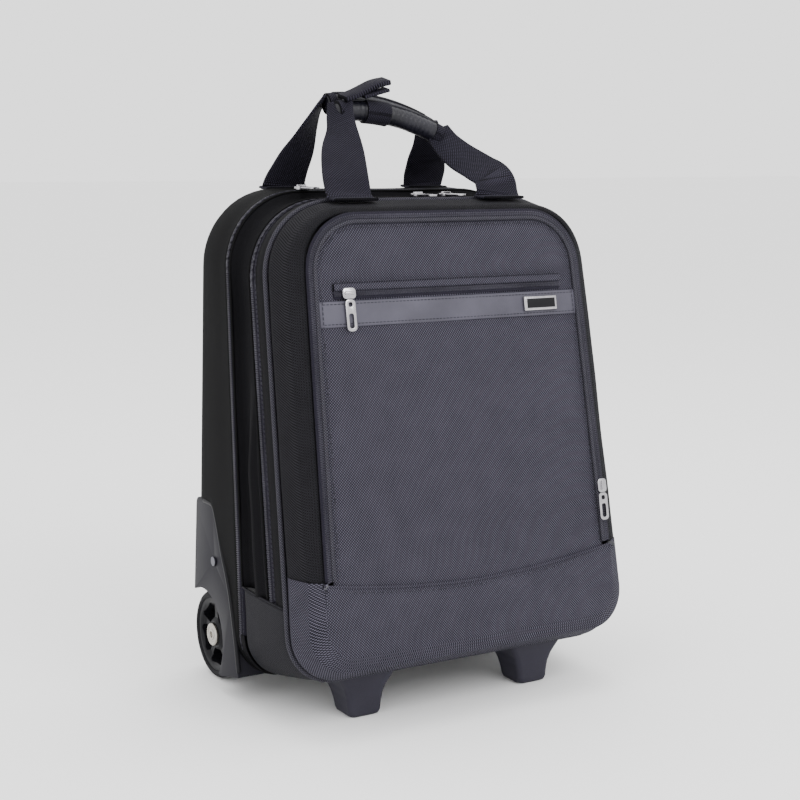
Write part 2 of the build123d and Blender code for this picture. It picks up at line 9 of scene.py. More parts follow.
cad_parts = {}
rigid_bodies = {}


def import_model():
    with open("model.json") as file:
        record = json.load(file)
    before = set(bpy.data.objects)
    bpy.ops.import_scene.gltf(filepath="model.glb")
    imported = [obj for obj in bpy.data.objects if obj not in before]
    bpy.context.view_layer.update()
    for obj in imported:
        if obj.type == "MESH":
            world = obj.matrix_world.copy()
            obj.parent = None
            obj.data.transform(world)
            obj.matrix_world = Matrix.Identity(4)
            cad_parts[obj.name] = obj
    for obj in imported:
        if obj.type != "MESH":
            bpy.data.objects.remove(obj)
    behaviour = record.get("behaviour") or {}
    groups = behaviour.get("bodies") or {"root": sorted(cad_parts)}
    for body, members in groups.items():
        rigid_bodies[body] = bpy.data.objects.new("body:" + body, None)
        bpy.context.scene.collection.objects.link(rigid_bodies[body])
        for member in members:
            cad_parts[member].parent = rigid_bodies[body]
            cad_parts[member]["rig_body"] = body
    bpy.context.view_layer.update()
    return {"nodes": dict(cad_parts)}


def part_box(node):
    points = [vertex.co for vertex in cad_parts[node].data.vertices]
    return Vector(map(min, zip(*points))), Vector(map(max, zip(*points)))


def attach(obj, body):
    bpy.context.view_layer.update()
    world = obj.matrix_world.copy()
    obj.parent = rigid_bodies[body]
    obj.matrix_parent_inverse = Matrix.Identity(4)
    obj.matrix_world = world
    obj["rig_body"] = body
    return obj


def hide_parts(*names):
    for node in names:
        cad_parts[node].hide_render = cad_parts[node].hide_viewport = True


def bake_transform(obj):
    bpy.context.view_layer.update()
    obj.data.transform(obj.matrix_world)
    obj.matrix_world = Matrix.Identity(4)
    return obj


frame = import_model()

NODES = frame["nodes"]

# -------- shape of the case, in metres
BACK_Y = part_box("rear_shell")[1].y
DEPTH = 0.226
FRONT_Y = BACK_Y - DEPTH
FRONT_BOTTOM = 0.052         # height at which the front face meets the underside
LOW_Z = 0.014
TOP_Z = 0.437
WIDTH_LOW = 0.326
WIDTH_HIGH = 0.301
UNDERSIDE_SLOPE = math.tan(math.radians(13))
BAND_Z = 0.104               # the front section folds down above this height
DOOR_INSET = -0.007          # the door's edge, inside the front edge of the case
DOOR_CORNER = 0.042
MAIN_ZIP = 0.063             # depths of the zips and of the piping
REAR_ZIP = 0.129
PIPING = 0.0366
DOOR_CUT_Z = 0.1315          # where the front zip and the sides of the front section end, low down
SEAM_HALF = 0.1445           # half the length of the curved seam across the front
POCKET_ZIP_Z = 0.3575        # heights of the small pocket's zip and of the leather band with its badge
LEATHER_Z = 0.3413
BADGE_X = 0.088
CLOTH = 0.0022               # thickness of padded cloth and of zip tape
TAPE = 0.0007
PITCH = 0.0019               # from one tooth of a long zip to the next
GRIP_COUNT = 150             # points along a grip
SIDES = ((-1, "left"), (1, "right"))

# depth, lean in degrees, inset, top height, top and bottom corner radius
STATIONS = np.array([
    (0.0, 10.0, 0.018, 0.44, 0.04, 0.024),
    (0.008, 10.0, 0.007, 0.432, 0.052, 0.032),
    (0.027, 10.0, 0.0, 0.4295, 0.062, 0.038),
    (0.063, 10.0, 0.0, 0.4305, 0.07, 0.038),
    (0.129, 6.7, 0.0, 0.437, 0.068, 0.038),
    (0.218, 0.0, 0.0, 0.438, 0.066, 0.038),
    (0.226, 0.0, 0.008, 0.438, 0.058, 0.03),
])


def half_width(z):
    return (WIDTH_LOW + (WIDTH_HIGH - WIDTH_LOW) * (z - LOW_Z) / (TOP_Z - LOW_Z)) / 2


def unit(vectors):
    """Rows of vectors, each brought to length one."""
    return vectors / np.linalg.norm(vectors, axis=1)[:, None]


def smooth_step(low, high, value):
    share = np.clip((value - low) / (high - low), 0, 1)
    return share * share * (3 - 2 * share)


def rounded(corners, radii, steps=16):
    """Closed outline with an arc at each corner."""
    points = []
    for k, corner in enumerate(corners):
        here = np.array(corner)
        to_last = np.array(corners[k - 1]) - here
        to_next = np.array(corners[(k + 1) % len(corners)]) - here
        to_last = to_last / np.linalg.norm(to_last)
        to_next = to_next / np.linalg.norm(to_next)
        half_angle = math.acos(np.clip(to_last @ to_next, -1, 1)) / 2
        middle = to_last + to_next
        centre = here + middle / np.linalg.norm(middle) * radii[k] / math.sin(half_angle)
        start = here + to_last * radii[k] / math.tan(half_angle) - centre
        end = here + to_next * radii[k] / math.tan(half_angle) - centre
        swing = math.pi - 2 * half_angle
        for share in np.linspace(0, 1, steps):
            a = math.sin((1 - share) * swing) / math.sin(swing)
            b = math.sin(share * swing) / math.sin(swing)
            points.append(centre + a * start + b * end)
    return np.array(points)


def ring(depth, out, count, part="upper", cut_z=BAND_Z, corner=None):
    """Points, outward normals and arc lengths along the case's outline at a depth.

    part is upper (from cut_z on the right, over the top, to cut_z on the left),
    lower (from cut_z on the left, under the case, to cut_z on the right) or all.
    """
    lean, inset, top, top_r, low_r = [np.interp(depth, STATIONS[:, 0], STATIONS[:, k]) for k in range(1, 6)]
    lean = math.radians(lean)
    shrink = inset - out
    low = max(LOW_Z, FRONT_BOTTOM - depth * UNDERSIDE_SLOPE) + shrink
    high = top - shrink
    v_low = (low - FRONT_BOTTOM) / math.cos(lean)
    v_high = (high - FRONT_BOTTOM) / math.cos(lean)
    wide = half_width(low) - shrink
    narrow = half_width(high) - shrink
    top_r = corner or max(top_r + out, 0.004)
    low_r = max(low_r + out, 0.004)
    outline = rounded(
        [(wide, v_low), (narrow, v_high), (-narrow, v_high), (-wide, v_low)], [low_r, top_r, top_r, low_r]
    )
    outline = np.vstack([[0, v_low], outline, [0, v_low]])
    step = np.diff(outline, axis=0)
    length = np.linalg.norm(step, axis=1)
    arc = np.concatenate([[0], np.cumsum(length)])
    normal = np.stack([step[:, 1], -step[:, 0]], 1) / length[:, None]
    normal = np.vstack([normal[:1], normal[1:] + normal[:-1], normal[-1:]])
    normal = unit(normal)
    if part == "all":
        places = np.linspace(0, arc[-1], count)
    else:
        v_cut = (cut_z - FRONT_BOTTOM) / math.cos(lean)
        first = np.nonzero(outline[:, 1] > v_cut)[0][0]
        right = np.interp(v_cut, outline[first - 1:first + 1, 1], arc[first - 1:first + 1])
        left = arc[-1] - right
        if part == "upper":
            places = np.linspace(right, left, count)
        else:
            places = np.linspace(left, right + arc[-1], count)
    around = places % arc[-1] if part == "lower" else places
    x = np.interp(around, arc, outline[:, 0])
    v = np.interp(around, arc, outline[:, 1])
    nx = np.interp(around, arc, normal[:, 0])
    nv = np.interp(around, arc, normal[:, 1])
    points = np.stack([x, FRONT_Y + depth + v * math.sin(lean), FRONT_BOTTOM + v * math.cos(lean)], 1)
    normals = np.stack([nx, nv * math.sin(lean), nv * math.cos(lean)], 1)
    return points, normals, places


LEAN = math.radians(10)
FACE_UP = np.array([0, math.sin(LEAN), math.cos(LEAN)])
FACE_OUT = np.array([0, -math.cos(LEAN), math.sin(LEAN)])


def on_face(x, z, out=0.0):
    """Point on the leaning front face at x and height z, raised by out."""
    v = (z - FRONT_BOTTOM) / math.cos(LEAN)
    return np.array([x, FRONT_Y, FRONT_BOTTOM]) + v * FACE_UP + out * FACE_OUT


# -------- mesh tools
def shade(obj, sharp=None):
    """Smooth shading, with crisp edges where the faces turn by more than sharp degrees."""
    obj.data.polygons.foreach_set("use_smooth", [True] * len(obj.data.polygons))
    if sharp:
        obj.data.set_sharp_from_angle(angle=math.radians(sharp))
    return obj


def linked(name, mesh):
    obj = bpy.data.objects.new(name, mesh)
    bpy.context.scene.collection.objects.link(obj)
    return obj


def mesh_object(name, points, faces, materials=(), uvs=None):
    mesh = bpy.data.meshes.new(name)
    mesh.from_pydata([tuple(map(float, p)) for p in points], [], faces)
    if uvs is not None:
        layer = mesh.uv_layers.new(name="UVMap")
        for loop in mesh.loops:
            layer.data[loop.index].uv = uvs[loop.vertex_index]
    for material in materials:
        mesh.materials.append(material)
    return shade(linked(name, mesh))


def solid(name, points, faces, materials=(), uvs=None):
    """Mesh with its faces turned to look outwards."""
    obj = mesh_object(name, points, faces, materials, uvs)
    work = bmesh.new()
    work.from_mesh(obj.data)
    bmesh.ops.recalc_face_normals(work, faces=work.faces)
    work.to_mesh(obj.data)
    work.free()
    return obj


def tube_faces(rings, around, closed=False, first_cap=True):
    """Faces over rings of points: joined end to end when closed, and with caps when not."""
    faces = []
    for k in range(rings if closed else rings - 1):
        after = (k + 1) % rings
        for j in range(around):
            beside = (j + 1) % around
            faces.append((k * around + j, k * around + beside, after * around + beside, after * around + j))
    if first_cap and not closed:
        faces.append(tuple(range(around))[::-1])
    if not closed:
        faces.append(tuple((rings - 1) * around + j for j in range(around)))
    return faces


def place(obj, body, node=None):
    """Say which body a piece rides on and the node it replaces."""
    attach(obj, body)
    if node:
        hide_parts(node)
    return obj


def grid(name, rows, uvs, materials):
    """Surface through rows of points, each of the same length."""
    count = len(rows[0])
    faces = [
        (i * count + j, (i + 1) * count + j, (i + 1) * count + j + 1, i * count + j + 1)
        for i in range(len(rows) - 1)
        for j in range(count - 1)
    ]
    return mesh_object(name, np.vstack(rows), faces, materials, np.vstack(uvs))


def ruffle(point, size, amount):
    """Gentle unevenness of cloth at a point."""
    return amount * noise.noise(Vector(point) / size)


def ruffled(points, size, amount):
    return np.array([ruffle(point, size, amount) for point in points])[:, None]


def arc_lengths(points):
    return np.concatenate([[0], np.cumsum(np.linalg.norm(np.diff(points, axis=0), axis=1))])


def uv_row(along, across):
    """Cloth coordinates of a row of points, with the same distance across for all."""
    return np.stack([along, np.full(len(along), across)], 1)


def strip(name, profile, materials, count=150, part="upper", cut_z=BAND_Z, uneven=0.0006, swell=None):
    """Cloth lofted through rings: profile holds a depth and an outward offset for each ring."""
    rows = []
    uvs = []
    for (depth, out), across in zip(profile, arc_lengths(profile)):
        points, normals, arc = ring(depth, out, count, part, cut_z)
        lift = ruffled(points, 0.05, uneven)
        if swell:
            lift = lift + swell(depth, points)[:, None]
        rows.append(points + normals * lift)
        uvs.append(uv_row(arc, across))
    return grid(name, rows, uvs, materials)


def apply_modifiers(obj):
    depsgraph = bpy.context.evaluated_depsgraph_get()
    mesh = bpy.data.meshes.new_from_object(obj.evaluated_get(depsgraph))
    obj.modifiers.clear()
    obj.data = mesh
    return obj


def thicken(obj, thickness=CLOTH):
    """Give cloth its thickness, inwards; the inside takes the last material."""
    wall = obj.modifiers.new("thickness", "SOLIDIFY")
    wall.thickness = thickness
    wall.offset = -1
    wall.material_offset = len(obj.data.materials) - 1
    return apply_modifiers(obj)


def sweep(name, points, up, section, material, scale=None, closed=False):
    """Section carried along a path. section holds side and up offsets; up and scale may be per point."""
    points = np.asarray(points, float)
    tangent = unit(np.gradient(points, axis=0))
    side = unit(np.cross(tangent, np.broadcast_to(np.asarray(up, float), points.shape)))
    rise = np.cross(side, tangent)
    if scale is None:
        scale = np.ones((len(points), 2))
    arc = arc_lengths(points)
    edge = np.linalg.norm(np.roll(section, -1, 0) - section, axis=1)
    around = np.concatenate([[0], np.cumsum(edge)[:-1]])
    verts = []
    uvs = []
    for k, point in enumerate(points):
        for (a, b), turn in zip(section, around):
            verts.append(point + side[k] * a * scale[k, 0] + rise[k] * b * scale[k, 1])
            uvs.append((arc[k], turn))
    return solid(name, verts, tube_faces(len(points), len(section), closed), [material], uvs)


def circle(radius, sides=10):
    angles = np.linspace(0, 2 * math.pi, sides, endpoint=False)
    return np.stack([np.cos(angles), np.sin(angles)], 1) * radius


def flat_section(width, thick, rounding=3):
    """Section of a band: flat, with rounded edges."""
    half = width / 2 - thick / 2
    angles = np.linspace(-math.pi / 2, math.pi / 2, rounding + 2)
    right = [(half + math.cos(a) * thick / 2, math.sin(a) * thick / 2) for a in angles]
    left = [(-x, -y) for x, y in right]
    return np.array(right + left)


def outline_cord(name, depth, out, count, section, material, part="upper"):
    """Round cord along the outline of the case; it closes on itself when part is all."""
    points, normals, _ = ring(depth, out, count, part)
    closed = part == "all"
    if closed:
        points = points[:-1]
        normals = normals[:-1]
    return sweep(name, points, normals, section, material, closed=closed)


def smooth_path(knots, count):
    """Smooth path through points."""
    knots = np.asarray(knots, float)
    padded = np.vstack([2 * knots[0] - knots[1], knots, 2 * knots[-1] - knots[-2]])
    spans = len(knots) - 1
    path = []
    for share in np.linspace(0, spans, count):
        k = min(int(share), spans - 1)
        t = share - k
        p0, p1, p2, p3 = padded[k:k + 4]
        path.append(0.5 * (
            2 * p1 + (p2 - p0) * t + (2 * p0 - 5 * p1 + 4 * p2 - p3) * t * t
            + (3 * p1 - p0 - 3 * p2 + p3) * t ** 3
        ))
    return np.array(path)


def spaced(points, normals, spacing):
    """Places at an even spacing along a path, with their directions along it and out of the cloth."""
    both = np.hstack([points, np.broadcast_to(normals, np.shape(points))])
    arc = arc_lengths(both)
    places = np.arange(spacing / 2, arc[-1], spacing)
    both = np.stack([np.interp(places, arc, column) for column in both.T], 1)
    centres, up = both[:, :3], both[:, 3:]
    return centres, unit(np.gradient(centres, axis=0)), up


def blocks(name, centres, along, up, size, material, taper=0.75):
    """Many small blocks with narrowed tops: zip teeth or stitches."""
    length, width, height = size
    side = np.cross(along, up)
    one = tube_faces(3, 4)
    verts = []
    faces = []
    for k, centre in enumerate(centres):
        faces += [tuple(len(verts) + j for j in face) for face in one]
        for level, share in ((0.0, 1.0), (0.6, 1.0), (1.0, taper)):
            for a, b in ((-1, -1), (1, -1), (1, 1), (-1, 1)):
                across = along[k] * a * length / 2 * share + side[k] * b * width / 2 * share
                verts.append(centre + across + up[k] * (level * height))
    return solid(name, verts, faces, [material])


def stitches(name, body, points, normals, length=0.0026, gap=0.0014):
    """A row of stitches along a path that lies on cloth."""
    wide = 0.0007
    high = 0.0005
    centres, along, up = spaced(points, normals, length + gap)
    row = blocks(name, centres - up * high * 0.3, along, up, (length, wide, high), thread, 0.6)
    place(row, body)


def teeth(name, body, centres, along, up, size, shift=0.0):
    """A row of zip teeth, moved along by a shift so that it meshes with the row beside it."""
    place(blocks(name, centres + along * shift, along, up, size, tooth_plastic), body)


def cut(obj, *cutters):
    """Take closed meshes away from a closed mesh."""
    for cutter in cutters:
        hole = obj.modifiers.new("cut", "BOOLEAN")
        hole.object = cutter
        hole.solver = "EXACT"
        apply_modifiers(obj)
        bpy.data.objects.remove(cutter)
    return obj


def prism(name, outline, axis, low, high):
    """Closed block: an outline in the other two axes, between two values along X or Z."""
    verts = [(value, a, b) if axis == "x" else (a, b, value) for value in (low, high) for a, b in outline]
    return solid(name, verts, tube_faces(2, len(outline)))


def softened(node, name, material, width, angle):
    """Copy of a CAD node with its sharp edges rounded."""
    source = NODES[node]
    work = bmesh.new()
    work.from_mesh(source.data)
    bmesh.ops.remove_doubles(work, verts=work.verts, dist=0.00001)
    bmesh.ops.dissolve_limit(work, angle_limit=math.radians(2), verts=work.verts, edges=work.edges)
    mesh = bpy.data.meshes.new(name)
    work.to_mesh(mesh)
    work.free()
    mesh.materials.clear()
    mesh.materials.append(material)
    obj = linked(name, mesh)
    bevel = obj.modifiers.new("rounding", "BEVEL")
    bevel.width = width
    bevel.segments = 3
    bevel.limit_method = "ANGLE"
    bevel.angle_limit = math.radians(angle)
    normals = obj.modifiers.new("normals", "WEIGHTED_NORMAL")
    normals.keep_sharp = True
    shade(apply_modifiers(obj), 35)
    place(obj, source["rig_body"], node=node)


# -------- materials
class Paint:
    """A material and short ways to add nodes to it."""

    def __init__(self, name, roughness, metallic=0.0, specular=0.5, coat=0.0):
        self.material = bpy.data.materials.new(name)
        self.material.use_nodes = True
        self.tree = self.material.node_tree
        self.shader = self.tree.nodes["Principled BSDF"]
        looks = {"Roughness": roughness, "Metallic": metallic, "Specular IOR Level": specular}
        for socket, value in {**looks, "Coat Weight": coat}.items():
            self.shader.inputs[socket].default_value = value

    def node(self, kind, inputs, **settings):
        """Add a node; each input is a number or another node's output."""
        made = self.tree.nodes.new(kind)
        for key, value in settings.items():
            setattr(made, key, value)
        for key, value in inputs.items():
            if isinstance(value, (int, float)):
                made.inputs[key].default_value = value
            else:
                self.tree.links.new(value, made.inputs[key])
        return made

    def maths(self, operation, *values):
        return self.node("ShaderNodeMath", dict(enumerate(values)), operation=operation).outputs[0]

    def times(self, first, second):
        return self.maths("MULTIPLY", first, second)

    def coordinates(self, kind="Object"):
        return self.node("ShaderNodeTexCoord", {}).outputs[kind]

    def noise(self, vector, scale, detail=3.0):
        inputs = {"Vector": vector, "Scale": scale, "Detail": detail}
        return self.node("ShaderNodeTexNoise", inputs).outputs["Fac"]

    def colour(self, factor, low, high, start=0.0, end=1.0):
        made = self.node("ShaderNodeValToRGB", {0: factor})
        for element, colour, position in zip(made.color_ramp.elements, (low, high), (start, end)):
            element.color = (*colour, 1)
            element.position = position
        self.tree.links.new(made.outputs[0], self.shader.inputs["Base Color"])

    def bump(self, height, distance):
        made = self.node("ShaderNodeBump", {"Height": height, "Distance": distance})
        self.tree.links.new(made.outputs[0], self.shader.inputs["Normal"])

    def roughness(self, factor, low, high):
        made = self.node("ShaderNodeMapRange", {"Value": factor, "To Min": low, "To Max": high})
        self.tree.links.new(made.outputs[0], self.shader.inputs["Roughness"])


def woven(name, dark, light, pitch, roughness, depth, coordinates="UV"):
    """Cloth of crossing yarns: warp on top in half of the cells, weft in the others; its colour is a painted
    sheen on the raised warp and painted shade on the weft and between the yarns.
    """
    paint = Paint(name, roughness + 0.12, specular=0.06)
    x, y, z = paint.node("ShaderNodeSeparateXYZ", {0: paint.coordinates(coordinates)}).outputs
    across, along = x, y
    if coordinates == "Object":
        across = paint.maths("ADD", x, paint.times(y, 0.83))
        along = z
    u = paint.maths("DIVIDE", across, pitch)
    v = paint.maths("DIVIDE", along, pitch)
    cell = paint.maths("ADD", paint.maths("FLOOR", u), paint.maths("FLOOR", v))
    over = paint.maths("LESS_THAN", paint.maths("FRACT", paint.times(cell, 0.5)), 0.25)
    warp = paint.maths("ABSOLUTE", paint.maths("SINE", paint.times(u, math.pi)))
    weft = paint.maths("ABSOLUTE", paint.maths("SINE", paint.times(v, math.pi)))
    top = paint.times(warp, over)
    bottom = paint.times(paint.times(weft, paint.maths("SUBTRACT", 1.0, over)), 0.3)
    height = paint.maths("ADD", top, bottom)
    mottle = paint.noise(paint.coordinates(), 60.0, 4.0)
    tone = paint.maths("ADD", height, paint.times(paint.maths("SUBTRACT", mottle, 0.5), 0.16))
    # colour ramp over yarn height: painted sheen on the raised warp, painted shade on the weft and in the
    # gaps; the mottle is the cloth's own uneven tone
    paint.colour(tone, dark, light, 0.15, 1.0)
    paint.bump(height, depth)
    return paint.material


def grained(name, dark, light, scale, roughness, depth):
    """Moulded plastic, rubber or thread: a fine grain over slow changes of tone."""
    paint = Paint(name, roughness, specular=0.12)
    here = paint.coordinates()
    grain = paint.noise(here, scale, 6.0)
    slow = paint.noise(here, 22.0)
    tone = paint.maths("ADD", paint.times(grain, 0.4), paint.times(slow, 0.6))
    paint.colour(tone, dark, light, 0.3, 0.7)
    paint.roughness(slow, roughness - 0.06, roughness + 0.08)
    paint.bump(grain, depth)
    return paint.material


def leathered(name, dark, light, roughness):
    """Leather with fine pores and a thin finish."""
    paint = Paint(name, roughness, specular=0.25, coat=0.04)
    paint.shader.inputs["Coat Roughness"].default_value = 0.3
    here = paint.coordinates()
    cells = paint.node("ShaderNodeTexVoronoi", {"Vector": here, "Scale": 900.0}, feature="DISTANCE_TO_EDGE")
    slow = paint.noise(here, 30.0, 4.0)
    pores = paint.maths("MINIMUM", paint.times(cells.outputs["Distance"], 4.0), 1.0)
    paint.colour(slow, dark, light, 0.3, 0.72)
    paint.roughness(slow, roughness - 0.08, roughness + 0.1)
    paint.bump(pores, 0.00008)
    return paint.material


def metal(name, colour, roughness, brushed=False):
    paint = Paint(name, roughness, metallic=1.0)
    here = paint.coordinates()
    wear = paint.noise(here, 160.0)
    low = tuple(c * 0.82 for c in colour)
    paint.colour(wear, low, colour, 0.25, 0.7)
    paint.roughness(wear, roughness - 0.04, roughness + 0.1)
    if brushed:
        paint.bump(paint.noise(here, 1500.0, 2.0), 0.00003)
    return paint.material


# each has a dark and a light colour, then yarn pitch or grain scale, roughness and bump depth; on woven cloth
# the light colour is a painted sheen on the raised yarns
front_twill = woven("front_twill", (0.001, 0.001, 0.0014), (0.108, 0.102, 0.137), 0.00115, 0.62, 0.0004)
side_twill = woven("side_twill", (0.0004, 0.0004, 0.0004), (0.036, 0.035, 0.042), 0.00115, 0.66, 0.0004)
smooth_cloth = woven("smooth_cloth", (0.0008, 0.0008, 0.0009), (0.009, 0.009, 0.01), 0.001, 0.62, 0.0001)
gusset_cloth = woven("gusset_cloth", (0.001, 0.001, 0.0013), (0.009, 0.0085, 0.011), 0.0007, 0.6, 0.0001)
base_cloth = woven("base_cloth", (0.004, 0.004, 0.005), (0.02, 0.019, 0.025), 0.0008, 0.5, 0.0001)
lining_cloth = woven("lining_cloth", (0.05, 0.05, 0.055), (0.11, 0.11, 0.12), 0.0008, 0.7, 0.0001)
lining_object = woven("lining_object", (0.05, 0.05, 0.055), (0.11, 0.11, 0.12), 0.0009, 0.7, 0.0001, "Object")
webbing = woven("webbing", (0.0015, 0.0015, 0.002), (0.036, 0.033, 0.05), 0.0012, 0.6, 0.0004)
tape_cloth = woven("tape_cloth", (0.004, 0.0035, 0.006), (0.034, 0.031, 0.048), 0.0006, 0.48, 0.0001)
# piping: partly its own twill colour, partly a painted highlight, its light colour raised to stand in for the
# bright edges of the cord
piping_cloth_painted_highlight = woven("piping_cloth_painted_highlight", (0.006, 0.006, 0.008), (0.085, 0.081, 0.102), 0.0011, 0.5, 0.0003)
leather = leathered("band_leather", (0.04, 0.038, 0.052), (0.062, 0.059, 0.08), 0.42)
grip_leather = leathered("grip_leather", (0.003, 0.003, 0.005), (0.009, 0.0085, 0.014), 0.32)
tooth_plastic = grained("tooth_plastic", (0.018, 0.017, 0.024), (0.055, 0.052, 0.068), 500.0, 0.35, 0.00003)
thread = grained("thread", (0.012, 0.012, 0.016), (0.04, 0.038, 0.05), 900.0, 0.7, 0.0001)
slate = ((0.005, 0.0047, 0.0073), (0.0095, 0.0088, 0.0135))
slate_plastic = grained("slate_plastic", *slate, 1400.0, 0.48, 0.00005)
foot_plastic = grained("foot_plastic", (0.018, 0.017, 0.024), (0.03, 0.028, 0.04), 1400.0, 0.5, 0.00005)
black_plastic = grained("black_plastic", (0.004, 0.004, 0.005), (0.009, 0.009, 0.011), 1200.0, 0.42, 0.00004)
rubber = grained("rubber", (0.005, 0.005, 0.006), (0.014, 0.0135, 0.016), 700.0, 0.68, 0.0001)
pale_plastic = grained("pale_plastic", (0.5, 0.5, 0.49), (0.66, 0.66, 0.64), 900.0, 0.45, 0.00003)
board_plastic = grained("board_plastic", (0.03, 0.03, 0.032), (0.06, 0.06, 0.062), 600.0, 0.6, 0.0001)
chrome = metal("chrome", (0.42, 0.41, 0.43), 0.16)
steel = metal("steel", (0.4, 0.38, 0.34), 0.26, brushed=True)
dark_steel = metal("dark_steel", (0.1, 0.1, 0.12), 0.35)
aluminium = metal("aluminium", (0.68, 0.68, 0.7), 0.3, brushed=True)


# -------- rear section, on the root body
def housing_cutter(side):
    """Room behind a wheel housing, taken out of the cloth."""
    outline = [(0.1325, -0.02), (0.1325, 0.0245), (0.1525, 0.088), (0.1725, 0.1235), (0.1885, 0.156),
               (0.195, 0.1635), (0.24, 0.1635), (0.24, -0.02)]
    outline = [(FRONT_Y + y, z) for y, z in outline]
    return prism("housing_cutter", outline, "x", *sorted((side * 0.1185, side * 0.19)))


def cup_cutter():
    """Room for the cup that the pull handle drops into."""
    low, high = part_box("handle_cup")
    inset = 0.0004
    x0, x1 = low.x + inset, high.x - inset
    y0, y1 = low.y + inset, high.y - inset
    return prism("cup_cutter", [(x0, y0), (x1, y0), (x1, y1), (x0, y1)], "z", 0.41, 0.46)


def bulged(depths, rise, start, length):
    """Part of a profile that swells out and back along the case."""
    return [(depth, 0.0008 + rise * math.sin(math.pi * (depth - start) / length)) for depth in depths]


def rear_section():
    """Rear shell with its slightly crowned back, and the piping round its edge."""
    profile = [(0.1305, -0.0035), (0.1307, -0.0005), (0.1325, 0.001), (0.138, 0.0012), (0.15, 0.0008)]
    profile += bulged(np.linspace(0.16, 0.213, 8), 0.0009, 0.15, 0.066)
    profile += [(0.218, 0.0004), (0.2225, -0.0008), (0.2255, -0.0022)]
    profile += [(DEPTH, out) for out in (-0.002, -0.008, -0.02, -0.04, -0.07, -0.1, -0.12)]
    rows = []
    uvs = []
    for (depth, out), across in zip(profile, arc_lengths(profile)):
        points, normals, arc = ring(depth, out, 180, "all")
        uv = uv_row(arc, across)
        if depth < 0.22:
            points = points + normals * ruffled(points, 0.06, 0.0008)
        if depth >= DEPTH:
            points[:, 1] += 0.0016 * (1 - math.exp(out / 0.02))
            uv = points[:, [0, 2]]
        rows.append(points[:-1])
        uvs.append(uv[:-1])
    faces = tube_faces(len(rows), len(rows[0]), first_cap=False)
    shell = solid("rear_shell_cloth", np.vstack(rows), faces, (smooth_cloth, lining_cloth), np.vstack(uvs))
    thicken(shell)
    cut(shell, housing_cutter(-1), housing_cutter(1), cup_cutter())
    place(shell, "root", node="rear_shell")
    cord = outline_cord("rear_edge_piping", 0.2215, 0.0012, 260, circle(0.0016, 8), piping_cloth_painted_highlight, "all")
    cut(cord, housing_cutter(-1), housing_cutter(1))
    place(cord, "root")


def zip_half(name, body, depth, toward, node, cut_z=BAND_Z):
    """One side of a long zip: its tape, a row of teeth and a line of stitches."""
    widths = [0.0003, 0.0011, 0.0025, 0.0045, 0.0065]
    rises = [-0.0006, 0.0002, 0.0004, 0.0002, -0.001]
    profile = [(depth + toward * width, rise) for width, rise in zip(widths, rises)]
    tape = strip(name + "_tape", profile[::toward], [tape_cloth], 220, cut_z=cut_z, uneven=0.0002)
    place(thicken(tape, TAPE), body, node)
    points, normals, _ = ring(depth + toward * 0.0011, 0.0002, 500, cut_z=cut_z)
    centres, along, up = spaced(points, normals, PITCH)
    shift = PITCH / 2 if toward > 0 else 0.0
    teeth(name + "_teeth", body, centres, along, unit(up), (0.0011, 0.0024, 0.0013), shift)
    points, normals, _ = ring(depth + toward * 0.0048, 0.0003, 300, cut_z=cut_z)
    stitches(name + "_stitches", body, points, normals)


# -------- middle section and base
def middle_section():
    """Expansion gusset between the two long zips, with a welt along each edge."""
    def fold(depth, points):
        """The expansion fold swells out low down on both sides."""
        low = 1 - smooth_step(0.2, 0.31, points[:, 2])
        sides = smooth_step(0.12, 0.15, np.abs(points[:, 0]))
        return 0.0105 * math.exp(-((depth - 0.087) / 0.011) ** 2) * low * sides

    profile = [(0.0692, -0.0015), (0.0698, -0.0002), (0.0712, 0.0003), (0.0735, -0.0012), (0.0765, -0.0045)]
    profile += [(d, -0.006) for d in np.linspace(0.08, 0.112, 9)]
    profile += [(0.1165, -0.0042), (0.1195, -0.0012), (0.1213, 0.0002), (0.1224, -0.0004), (0.1228, -0.0018)]
    cloths = [gusset_cloth, lining_cloth]
    gusset = strip("middle_gusset_cloth", profile, cloths, 160, uneven=0.0012, swell=fold)
    place(thicken(gusset), "middle", node="middle_gusset")
    for word, depth in (("front", 0.0698), ("rear", 0.1222)):
        welt = outline_cord("middle_" + word + "_welt", depth, 0.0008, 220, circle(0.0011, 8), smooth_cloth)
        place(welt, "middle")


def side_line(side, places):
    """Points and normals on one side of the case; each place is a depth, an offset and a height."""
    end = 0 if side > 0 else -1
    rings = [ring(depth, out, 3, cut_z=z) for depth, out, z in places]
    return [points[end] for points, _, _ in rings], [normals[end] for _, normals, _ in rings]


def base_panel():
    """Cloth under the case, the seams along its sides and the patches below the rear zip."""
    profile = [(0.0385, -0.0016), (0.039, -0.0002), (0.041, 0.0006)]
    profile += bulged(np.linspace(0.046, 0.116, 10), 0.0012, 0.041, 0.078)
    profile += [(0.1195, 0.0004), (0.1213, -0.0006)]
    cloths = [base_cloth, lining_cloth]
    base = strip("base_panel_cloth", profile, cloths, 150, "lower", BAND_Z - 0.0008, 0.0009)
    place(thicken(base), "middle", node="base_tray")
    for side, word in SIDES:
        seam = []
        for depth in np.linspace(0.0395, 0.121, 24):
            out = 0.0012 + 0.0012 * math.sin(math.pi * max(depth - 0.041, 0) / 0.08)
            seam.append((depth, out, BAND_Z + 0.0002))
        cord = sweep("base_seam_" + word, *side_line(side, seam), circle(0.0008, 8), base_cloth)
        place(cord, "middle")
        below_zip = [(0.1262, 0.0008, z) for z in np.linspace(0.03, 0.062, 10)]
        section = flat_section(0.0085, 0.0012)
        patch = sweep("zip_end_patch_" + word, *side_line(side, below_zip), section, gusset_cloth)
        place(patch, "middle")


# -------- front section
def smile_z(x):
    """Height of the curved seam along the top of the front band."""
    return 0.1155 + 0.0165 * (abs(x) / 0.164) ** 1.8


